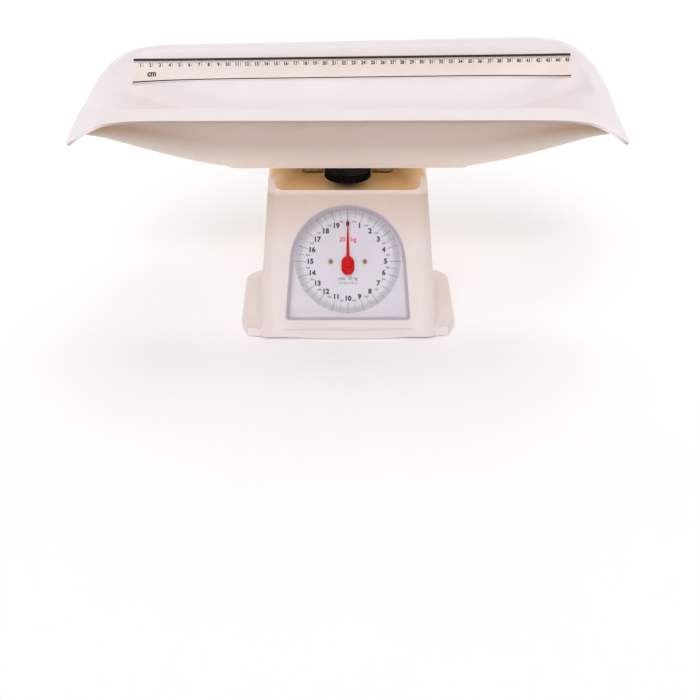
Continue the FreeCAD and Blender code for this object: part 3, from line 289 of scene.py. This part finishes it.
def platform_shelter(shade, tone):
    """Painted warm light on the underside where it is enclosed, which throws light back into the
    recess.
    """
    return shade.tinted(tone, shade.by_openness([(0.1, (1.12, 1.05, 0.75, 1)), (0.8, WHITE)],
                                                70 * MM))


def sheet_steel(name, tone, dark, roughness, stretch=(1, 1, 12)):
    """Rolled and plated sheet: drawn streaks, cloudy plating and dull patches."""
    shade = Shade(name, roughness, Metallic=1.0)
    streaks = shade.noise(260, 4, 0.6, stretch)
    cloud = shade.noise(45, 4)
    body = shade.ramp(cloud, [(0.3, dark), (0.7, tone)])
    shade.colour(shade.mix(shade.spread(streaks, 0.0, 0.3), body, dark))
    shade.rough(shade.spread(streaks, roughness - 0.08, roughness + 0.12))
    return shade.bump(streaks, 0.00003, 0.4).material


def turned_metal(name, tone, dark, roughness):
    """Small turned piece: fine tool marks and darker hollows."""
    shade = Shade(name, roughness, Metallic=1.0)
    marks = shade.noise(900, 3, 0.5)
    darker_in_hollows = shade.ramp(shade.edges(), [(0.42, dark), (0.55, tone)])
    shade.colour(shade.mix(shade.spread(marks, 0.0, 0.25), darker_in_hollows, dark))
    shade.rough(shade.spread(marks, roughness - 0.06, roughness + 0.1))
    return shade.bump(marks, 0.00002, 0.4).material


def enamel(name, light, dark, roughness):
    """Sprayed enamel with a slight orange-peel skin."""
    shade = Shade(name, roughness, Specular_IOR_Level=0.08)
    shade.colour(shade.ramp(shade.noise(120, 3), [(0.3, dark), (0.7, light)]))
    shade.rough(shade.spread(shade.noise(300, 3), roughness - 0.05, roughness + 0.08))
    return shade.bump(shade.noise(1400, 2), 0.00001, 0.5).material


def black_moulding(name):
    """Matte black hand wheel with dust in its hollows."""
    shade = Shade(name, 0.5, Specular_IOR_Level=0.05)
    dust = shade.ramp(shade.edges(), [(0.40, linear(24, 16, 12)), (0.5, linear(8, 5, 4))])
    shade.colour(shade.mix(shade.spread(shade.noise(180, 5), 0.0, 0.35), dust,
                           linear(14, 9, 7)))
    shade.rough(shade.spread(shade.noise(220, 4), 0.48, 0.66))
    return shade.bump(shade.noise(1500, 2), 0.00003, 0.6).material


def rubber(name):
    shade = Shade(name, 0.8)
    shade.colour(shade.ramp(shade.noise(200, 5), [(0.3, linear(26, 25, 25)),
                                                  (0.7, linear(44, 42, 41))]))
    shade.rough(shade.spread(shade.noise(90, 4), 0.7, 0.9))
    return shade.bump(shade.noise(900, 3), 0.00005, 0.6).material


def printed_sheet(name, light, dark, roughness, fibre):
    """Printed sheet or strip: faint mottling under a satin skin."""
    shade = Shade(name, roughness)
    shade.colour(shade.ramp(shade.noise(40, 3), [(0.3, dark), (0.7, light)]))
    shade.rough(shade.spread(shade.noise(fibre, 3), roughness - 0.06, roughness + 0.08))
    return shade.bump(shade.noise(fibre * 3, 2), 0.00001, 0.5).material


def ink(name, light, dark):
    """Screen-printed ink, a little thinner in places."""
    shade = Shade(name, 0.55)
    shade.colour(shade.ramp(shade.noise(700, 3), [(0.3, dark), (0.75, light)]))
    shade.rough(shade.spread(shade.noise(500, 2), 0.48, 0.66))
    return shade.material


def clear_pane(name):
    """Clear acrylic window with a trace of haze, which lets the lamps through to the dial."""
    shade = Shade(name, 0.03, IOR=1.08, Transmission_Weight=1.0)
    shade.colour(shade.ramp(shade.noise(60, 2), [(0.3, (0.975, 0.97, 0.985, 1)),
                                                 (0.7, (0.99, 0.985, 1.0, 1))]))
    output = shade.tree.nodes["Material Output"]
    blend = shade.add("ShaderNodeMixShader")
    shade.link(shade.add("ShaderNodeLightPath").outputs["Is Shadow Ray"], blend.inputs["Fac"])
    shade.link(shade.shader.outputs["BSDF"], blend.inputs[1])
    shade.link(shade.add("ShaderNodeBsdfTransparent").outputs["BSDF"], blend.inputs[2])
    shade.link(blend.outputs["Shader"], output.inputs["Surface"])
    return shade.material


CREAM_CASING = moulded_plastic("cream_casing", (0.87, 0.75, 0.70, 1), (0.85, 0.725, 0.67, 1),
                               casing_shelter, 0.42, 2600, 0.00003)
CREAM_TRAY = moulded_plastic("cream_tray", (0.89, 0.825, 0.815, 1), (0.87, 0.803, 0.788, 1),
                             tray_shelter, 0.34, 1500, 0.000012)
CREAM_PLATFORM = moulded_plastic("cream_platform", (0.87, 0.78, 0.74, 1), (0.85, 0.755, 0.71, 1),
                                 platform_shelter, 0.36, 1800, 0.00002)
DIAL_SHEET = printed_sheet("dial_sheet", (0.51, 0.48, 0.485, 1), (0.485, 0.455, 0.46, 1), 0.42, 300)
RULE_STRIP = printed_sheet("rule_strip", linear(246, 233, 224), linear(242, 227, 216), 0.4, 400)
CLEAR_PANE = clear_pane("clear_pane")
RED_ENAMEL = enamel("red_enamel", (0.46, 0.001, 0.001, 1), (0.40, 0.001, 0.001, 1), 0.45)
BLACK_WHEEL = black_moulding("black_wheel")
YELLOW_ZINC = sheet_steel("yellow_zinc", (0.62, 0.52, 0.32, 1), (0.44, 0.36, 0.24, 1), 0.38)
CREAM_ENAMEL = enamel("cream_enamel", linear(222, 210, 196), linear(212, 199, 184), 0.45)
BRIGHT_ZINC = turned_metal("bright_zinc", (0.62, 0.60, 0.57, 1), (0.30, 0.28, 0.25, 1), 0.32)
SPRING_WIRE = turned_metal("spring_wire", (0.42, 0.42, 0.44, 1), (0.2, 0.2, 0.21, 1), 0.36)
AGED_BRASS = turned_metal("aged_brass", (0.34, 0.24, 0.13, 1), (0.07, 0.05, 0.035, 1), 0.5)
BRASS = turned_metal("cut_brass", (0.78, 0.58, 0.27, 1), (0.45, 0.30, 0.12, 1), 0.28)
FOOT_RUBBER = rubber("foot_rubber")
BLACK_INK = ink("black_ink", linear(44, 42, 44), linear(18, 17, 18))
GREY_INK = ink("grey_ink", linear(104, 102, 112), linear(76, 74, 84))
# Painted shadow of the window wall, together with the pane's edge, as a band and a darker line round
# the pane
EDGE_AND_PAINTED_SHADE = ink("edge_and_painted_shade", linear(194, 183, 192), linear(186, 174, 185))
BEVEL_LINE_AND_PAINTED_SHADE = ink("bevel_line_and_painted_shade", linear(158, 147, 158), linear(146, 135, 146))
RED_INK = ink("red_ink", linear(214, 40, 44), linear(190, 22, 28))

FINISHES = {
    CREAM_CASING: ["casing"],
    CREAM_TRAY: ["baby_tray"],
    CREAM_PLATFORM: ["platform"],
    CLEAR_PANE: ["dial_lens"],
    DIAL_SHEET: ["dial_plate"],
    RULE_STRIP: ["length_rule"],
    RED_ENAMEL: ["pointer"],
    BLACK_WHEEL: ["zero_knob"],
    CREAM_ENAMEL: ["base_plate"],
    YELLOW_ZINC: ["carrier_frame", "chassis", "spring_yoke", "pointer_bracket",
                  "upper_check_link", "lower_check_link"],
    BRASS: ["pinion", "rack", "front_bearing_bush", "rear_bearing_bush"],
    AGED_BRASS: ["dial_screws"],
    SPRING_WIRE: ["left_main_spring", "right_main_spring"],
    FOOT_RUBBER: ["rubber_feet"],
}
finish_of = {node: material for material, names in FINISHES.items() for node in names}
for name, piece in NODES.items():
    piece.data.materials.clear()
    piece.data.materials.append(finish_of.get(name, BRIGHT_ZINC))


# ---------------------------------------------------------------------------------------------
# Print: thin closed shapes drawn flat, then laid on a surface
# ---------------------------------------------------------------------------------------------
INK_DEPTH = 0.02 * MM
INK_HEIGHT = 0.05 * MM
LETTER_STEPS = 4


def bar(mesh, corners):
    """Thin bar over four corners (x, y), given anticlockwise."""
    low = [mesh.verts.new((x, y, -INK_DEPTH)) for x, y in corners]
    high = [mesh.verts.new((x, y, INK_HEIGHT)) for x, y in corners]
    mesh.faces.new(low[::-1])
    mesh.faces.new(high)
    for i in range(4):
        j = (i + 1) % 4
        mesh.faces.new((low[i], low[j], high[j], high[i]))


def line_bar(mesh, start, end, width):
    """Thin bar along a line."""
    along = (Vector(end) - Vector(start)).normalized()
    side = Vector((-along.y, along.x)) * width / 2
    start, end = Vector(start), Vector(end)
    bar(mesh, [tuple(start - side), tuple(end - side), tuple(end + side), tuple(start + side)])


def lettering(mesh, text, x, y, size, weight=0.0, squeeze=1.0):
    """Characters centred on x, y, with capitals about 0.7 size tall."""
    curve = bpy.data.curves.new("lettering", "FONT")
    curve.body = text
    curve.size = size
    curve.align_x = "CENTER"
    curve.align_y = "CENTER"
    curve.offset = weight
    curve.extrude = (INK_DEPTH + INK_HEIGHT) / 2
    curve.resolution_u = LETTER_STEPS
    holder = bpy.data.objects.new("lettering", curve)
    scene.collection.objects.link(holder)
    solid = bpy.data.meshes.new_from_object(
        holder.evaluated_get(bpy.context.evaluated_depsgraph_get()))
    lift = (INK_HEIGHT - INK_DEPTH) / 2
    solid.transform(Matrix.Translation((x, y, lift)) @ Matrix.Diagonal((squeeze, 1, 1, 1)))
    mesh.from_mesh(solid)
    bpy.data.objects.remove(holder)
    bpy.data.curves.remove(curve)
    bpy.data.meshes.remove(solid)


def lay(name, mesh, spot, material, body):
    """Turn flat print into a piece: each point goes where spot(x, y, height) says."""
    for vertex in mesh.verts:
        vertex.co = spot(*vertex.co)
    bmesh.ops.remove_doubles(mesh, verts=mesh.verts, dist=1e-7)
    bmesh.ops.recalc_face_normals(mesh, faces=mesh.faces)
    data = bpy.data.meshes.new(name)
    mesh.to_mesh(data)
    mesh.free()
    data.materials.append(material)
    piece = bpy.data.objects.new(name, data)
    scene.collection.objects.link(piece)
    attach(piece, body)


# Dial: 20 kg in one turn, a tick every 50 g
turn = JOINTS["pointer_turn"]
dial_middle = Vector(turn["pos_m"])
dial_out = Vector(turn["axis"]).normalized()
dial_right = Vector((1, 0, 0))
dial_up = dial_out.cross(dial_right)
dial_level = max((v.co - dial_middle).dot(dial_out) for v in NODES["dial_plate"].data.vertices)

DIAL_RADIUS = 52.6 * MM
KILOGRAMS = 20
TICKS_PER_KG = 20
TICKS_PER_HALF = 10
# Where each ring of print starts, as a share of the dial's radius
KG_TICK, HALF_TICK, TENTH_TICK, FINE_TICK = 0.79, 0.83, 0.86, 0.90
HALF_LABEL, NUMERAL = 0.765, 0.715
KG_WIDTH, HALF_WIDTH, FINE_WIDTH = 0.42 * MM, 0.32 * MM, 0.24 * MM
LIGHT_WEIGHT = 0.05 * MM
UNIT_X, UNIT_Y, UNIT_SIZE, UNIT_WEIGHT = 5.6 * MM, 22 * MM, 6.2 * MM, 0.14 * MM


def on_dial(x, y, height):
    return dial_middle + dial_right * x + dial_up * y + dial_out * (dial_level + height)


def clockwise(kilograms, radius):
    angle = 2 * math.pi * kilograms / KILOGRAMS
    return (radius * math.sin(angle), radius * math.cos(angle))


def dial_tick(mesh, kilograms, inner, width):
    """Radial tick out to the dial's edge from that share of its radius."""
    line_bar(mesh, clockwise(kilograms, inner * DIAL_RADIUS), clockwise(kilograms, DIAL_RADIUS), width)


fine_ticks, bold_ticks, numerals, small_print, unit = (bmesh.new() for _ in range(5))
for tick in range(KILOGRAMS * TICKS_PER_KG):
    kilograms = tick / TICKS_PER_KG
    if tick % TICKS_PER_KG == 0:
        dial_tick(bold_ticks, kilograms, KG_TICK, KG_WIDTH)
    elif tick % TICKS_PER_HALF == 0:
        dial_tick(bold_ticks, kilograms, HALF_TICK, HALF_WIDTH)
        x, y = clockwise(kilograms, HALF_LABEL * DIAL_RADIUS)
        lettering(small_print, "500", x, y, 2.7 * MM, LIGHT_WEIGHT)
    else:
        dial_tick(fine_ticks, kilograms, FINE_TICK if tick % 2 else TENTH_TICK, FINE_WIDTH)
for kilograms in range(KILOGRAMS):
    x, y = clockwise(kilograms, NUMERAL * DIAL_RADIUS)
    lettering(numerals, str(kilograms), x, y, 7.0 * MM, 0.32 * MM)
lettering(small_print, "max  20 kg", 0, -17.0 * MM, 4.4 * MM, LIGHT_WEIGHT)
lettering(small_print, "20 kg x 50 g", 0, -21.6 * MM, 3.6 * MM)
lettering(unit, "20", -UNIT_X, UNIT_Y, UNIT_SIZE, UNIT_WEIGHT)
lettering(unit, "kg", UNIT_X, UNIT_Y, UNIT_SIZE, UNIT_WEIGHT)

lay("dial_fine_ticks", fine_ticks, on_dial, GREY_INK, "base")
lay("dial_bold_ticks", bold_ticks, on_dial, BLACK_INK, "base")
lay("dial_numerals", numerals, on_dial, BLACK_INK, "base")
lay("dial_small_print", small_print, on_dial, GREY_INK, "base")
lay("dial_unit", unit, on_dial, RED_INK, "base")

# Window: a band round the pane, partly the pane's bevelled edge and partly painted shadow of the
# window wall, with a darker line inside it
WINDOW_RADIUS, WINDOW_FOOT, WINDOW_SILL = 57.5 * MM, 62.5 * MM, -58 * MM
ARCH_STEPS = 72
BAND_OUTER, BAND_INNER, LINE_INNER = 0.15 * MM, 2.1 * MM, 2.4 * MM
pane_level = max((v.co - dial_middle).dot(dial_out) for v in NODES["dial_lens"].data.vertices)


def window_outline(inset):
    """Closed outline of the window opening, moved inward by the inset: an arch on splayed sides
    over a straight sill."""
    radius, foot, sill = WINDOW_RADIUS - inset, WINDOW_FOOT - inset, WINDOW_SILL + inset
    spring = math.atan2(sill, foot) + math.acos(radius / math.hypot(foot, sill))
    arch = [spring + (math.pi - 2 * spring) * i / ARCH_STEPS for i in range(ARCH_STEPS + 1)]
    corners = [(-foot, sill), (foot, sill)]
    return [(radius * math.cos(a), radius * math.sin(a)) for a in arch] + corners


def band(mesh, outer, inner):
    """Thin band between two outlines of the window."""
    outside, inside = window_outline(outer), window_outline(inner)
    for i, corner in enumerate(outside):
        j = (i + 1) % len(outside)
        bar(mesh, [corner, outside[j], inside[j], inside[i]])


def on_pane(x, y, height):
    return dial_middle + dial_right * x + dial_up * y + dial_out * (pane_level + height)


edge_shade_band, bevel_shade_line = bmesh.new(), bmesh.new()
band(edge_shade_band, BAND_OUTER, BAND_INNER)
band(bevel_shade_line, BAND_INNER, LINE_INNER)
lay("window_edge_and_shade_band", edge_shade_band, on_pane, EDGE_AND_PAINTED_SHADE, "base")
lay("window_bevel_and_shade_line", bevel_shade_line, on_pane, BEVEL_LINE_AND_PAINTED_SHADE, "base")

# Rule: 45 cm along the rear wall, drawn from its upper edge down
RULE_CM = 45
strip = NODES["length_rule"]
strip_low, strip_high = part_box("length_rule")
strip_tree = BVHTree.FromPolygons([v.co for v in strip.data.vertices],
                                  [list(p.vertices) for p in strip.data.polygons])
MM_PER_CM = 10
RULE_LENGTH = RULE_CM * MM_PER_CM * MM
COLUMNS = 90
FROM_EDGE = 0.15 * MM
STRIP_DEPTH = 22.5 * MM
EDGE_HALVINGS = 16


def strip_front(x, z):
    """Point and outward direction on the strip's front, at x and height z, or None beyond it."""
    point, normal, _, _ = strip_tree.ray_cast(Vector((x, strip_low.y - 20 * MM, z)),
                                              Vector((0, 1, 0)))
    if point is None:
        return None
    return point, normal if normal.y < 0 else -normal


def strip_edge(x, limit):
    """Height at which the strip ends towards a limit, at x."""
    inside, outside = (strip_low.z + strip_high.z) / 2, limit
    for _ in range(EDGE_HALVINGS):
        middle = (inside + outside) / 2
        if strip_front(x, middle):
            inside = middle
        else:
            outside = middle
    return inside


strip_columns = []
for i in range(COLUMNS + 1):
    x = strip_low.x + FROM_EDGE + (RULE_LENGTH - 2 * FROM_EDGE) * i / COLUMNS
    strip_columns.append((strip_edge(x, strip_low.z - 1 * MM), strip_edge(x, strip_high.z + 1 * MM)))


def rule_point(x, y, height):
    """Point on the strip, x from its left end and -y of STRIP_DEPTH down from its upper edge.
    A point that falls between the strip's edge and its front is moved towards the middle."""
    x = min(max(x, FROM_EDGE), RULE_LENGTH - FROM_EDGE)
    place = (x - FROM_EDGE) / (RULE_LENGTH - 2 * FROM_EDGE) * COLUMNS
    column = min(int(place), COLUMNS - 1)
    low, high = (a + (b - a) * (place - column)
                 for a, b in zip(strip_columns[column], strip_columns[column + 1]))
    share = min(max(-y / STRIP_DEPTH, 0.01), 0.99)
    hit = None
    while hit is None:
        hit = strip_front(strip_low.x + x, high + (low - high) * share)
        share += (0.5 - share) * 0.02
    return hit[0] + hit[1] * height


rule_lines, rule_ticks, rule_numbers = (bmesh.new() for _ in range(3))
LINE_STEP = 2.5 * MM
LINE_SPANS = ((0.25 * MM, 2.7 * MM), (20.4 * MM, 21.4 * MM))
TICK_TOP = 2.6 * MM
for i in range(round(RULE_LENGTH / LINE_STEP)):
    x = i * LINE_STEP
    for top, foot in LINE_SPANS:
        bar(rule_lines, [(x, -foot), (x + LINE_STEP, -foot), (x + LINE_STEP, -top), (x, -top)])
for i in range(RULE_CM * MM_PER_CM + 1):
    foot = 8.2 if i % 10 == 0 else 6.0 if i % 5 == 0 else 4.6
    width = 0.36 if i % 10 == 0 else 0.3
    line_bar(rule_ticks, (i * MM, -TICK_TOP), (i * MM, -foot * MM), width * MM)
for i in range(1, RULE_CM + 1):
    shift = 2.6 if i < 10 else 3.4
    lettering(rule_numbers, str(i), (MM_PER_CM * i - shift) * MM, -6.9 * MM, 4.8 * MM, 0.2 * MM, 0.9)
lettering(rule_numbers, "cm", 19 * MM, -14.6 * MM, 7.4 * MM, 0.3 * MM)
lay("rule_lines", rule_lines, rule_point, BLACK_INK, "carrier")
lay("rule_ticks", rule_ticks, rule_point, BLACK_INK, "carrier")
lay("rule_numbers", rule_numbers, rule_point, BLACK_INK, "carrier")


# ---------------------------------------------------------------------------------------------
# Main springs, which in the scale stretch between the yoke and the carrier; built here as fixed coils
# ---------------------------------------------------------------------------------------------
SPRING_Y = -15.4 * MM
COIL_RADIUS = 4 * MM
COIL_WIRE = 0.9 * MM
COIL_LOW, COIL_HIGH = 56 * MM, 122 * MM
EYE_LOW, EYE_HIGH = 49 * MM, 128 * MM
COIL_TURNS = 22
STEPS_A_TURN = 20
COIL_STEPS = COIL_TURNS * STEPS_A_TURN
WIRE_SIDES = 10
CLOSING_STEPS = 6


def spring_path(x):
    """Middle line of a spring: a straight shank, the coil, which closes in over its last few
    steps, and the other shank."""
    path = [Vector((x, SPRING_Y, EYE_LOW))]
    for i in range(COIL_STEPS + 1):
        share = i / COIL_STEPS
        angle = 2 * math.pi * i / STEPS_A_TURN
        out = COIL_RADIUS * min(1, i / CLOSING_STEPS, (COIL_STEPS - i) / CLOSING_STEPS)
        path.append(Vector((x + out * math.cos(angle), SPRING_Y + out * math.sin(angle),
                            COIL_LOW + (COIL_HIGH - COIL_LOW) * share)))
    path.append(Vector((x, SPRING_Y, EYE_HIGH)))
    return path


def coil_spring(name, x):
    """Wire swept along the spring's middle line, as one fixed piece reaching from the base at its top
    to the carrier at its foot."""
    mesh = bmesh.new()
    path = spring_path(x)
    rings = []
    previous = None
    for i, point in enumerate(path):
        along = (path[min(i + 1, len(path) - 1)] - path[max(i - 1, 0)]).normalized()
        first = along.cross(Vector((0.31, 0.12, 1))).normalized()
        if previous is not None and first.dot(previous) < 0:
            first = -first
        previous = first
        second = along.cross(first)
        rings.append([mesh.verts.new(point + COIL_WIRE * (first * math.cos(a) +
                                                          second * math.sin(a)))
                      for a in (k * 2 * math.pi / WIRE_SIDES for k in range(WIRE_SIDES))])
    for low, high in zip(rings, rings[1:]):
        for k in range(WIRE_SIDES):
            after = k + 1 - WIRE_SIDES
            mesh.faces.new((low[k], low[after], high[after], high[k])).smooth = True
    mesh.faces.new(rings[0][::-1])
    mesh.faces.new(rings[-1])
    bmesh.ops.recalc_face_normals(mesh, faces=mesh.faces)
    data = bpy.data.meshes.new(name)
    mesh.to_mesh(data)
    mesh.free()
    data.materials.append(SPRING_WIRE)
    piece = bpy.data.objects.new(name, data)
    scene.collection.objects.link(piece)
    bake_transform(piece)
    return piece


for hand in ("left", "right"):
    low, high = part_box(f"{hand}_main_spring")
    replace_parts(coil_spring(f"{hand}_coil", (low.x + high.x) / 2), f"{hand}_main_spring")


# ---------------------------------------------------------------------------------------------
# Floor, light and camera
# ---------------------------------------------------------------------------------------------
CURVE_START, CURVE_RADIUS, CURVE_STEPS = 1.6, 0.9, 12
BACKDROP_TOP = 3.5


def studio_floor():
    """Pale floor that curves up into the backdrop behind the scale."""
    mesh = bmesh.new()
    profile = [(-20.0, 0.0), (-3.0, 0.0), (CURVE_START, 0.0)]
    for step in range(1, CURVE_STEPS + 1):
        angle = step * math.pi / 2 / CURVE_STEPS
        profile.append((CURVE_START + CURVE_RADIUS * math.sin(angle),
                        CURVE_RADIUS - CURVE_RADIUS * math.cos(angle)))
    profile.append((CURVE_START + CURVE_RADIUS, BACKDROP_TOP))
    rows = [[mesh.verts.new((x, y, z)) for x in (-20, -4, 4, 20)] for y, z in profile]
    for near, far in zip(rows, rows[1:]):
        for i in range(len(near) - 1):
            mesh.faces.new((near[i], near[i + 1], far[i + 1], far[i])).smooth = True
    data = bpy.data.meshes.new("studio_floor")
    mesh.to_mesh(data)
    mesh.free()
    shade = Shade("pale_floor", 0.75, Emission_Color=(1, 1, 1, 1), Emission_Strength=0.09)
    shade.colour(shade.ramp(shade.noise(6, 3), [(0.3, (0.975, 0.98, 0.985, 1)),
                                               (0.7, (0.985, 0.99, 0.995, 1))]))
    data.materials.append(shade.material)
    floor = bpy.data.objects.new("studio_floor", data)
    scene.collection.objects.link(floor)


def soft_light(name, azimuth, elevation, spread, strength, tint):
    """Even soft light from one side. Azimuth 0 shines from the front and 90 from the right."""
    lamp = bpy.data.lights.new(name, "SUN")
    lamp.angle = math.radians(spread)
    lamp.energy = strength
    lamp.color = tint
    turn_z, rise = math.radians(azimuth), math.radians(elevation)
    source = Vector((math.sin(turn_z) * math.cos(rise), -math.cos(turn_z) * math.cos(rise),
                     math.sin(rise)))
    holder = bpy.data.objects.new(name, lamp)
    holder.location = source * 2
    holder.rotation_euler = (-source).to_track_quat("-Z", "Y").to_euler()
    scene.collection.objects.link(holder)


studio_floor()
soft_light("key_light", -12, 50, 40, 1.17, (0.83, 0.88, 1.0))
soft_light("front_light", 2, 25, 40, 0.80, (0.95, 0.92, 0.95))
soft_light("top_light", 160, 72, 50, 0.86, (1.0, 0.92, 0.88))
soft_light("left_light", -80, 35, 50, 0.36, (1.0, 0.86, 0.68))
soft_light("right_light", 80, 35, 50, 0.42, (1.0, 0.94, 0.76))

world = bpy.data.worlds.new("studio")
world.use_nodes = True
world.node_tree.nodes["Background"].inputs["Color"].default_value = (1.0, 1.0, 1.0, 1)
world.node_tree.nodes["Background"].inputs["Strength"].default_value = 0.06
scene.world = world
scene.view_settings.view_transform = "Standard"

# Camera fitted to the rule, the dial and the casing's corners
CAMERA_PLACE = Vector((-5.4, -1482.8, 720.6)) * MM
CAMERA_PITCH = 27.468
CAMERA_YAW = 0.301
lens = bpy.data.cameras.new("camera")
lens.lens = 81.2
lens.sensor_width = 36
camera = bpy.data.objects.new("camera", lens)
camera.location = CAMERA_PLACE
camera.rotation_euler = (math.radians(90 - CAMERA_PITCH), 0, math.radians(-CAMERA_YAW))
scene.collection.objects.link(camera)
scene.camera = camera
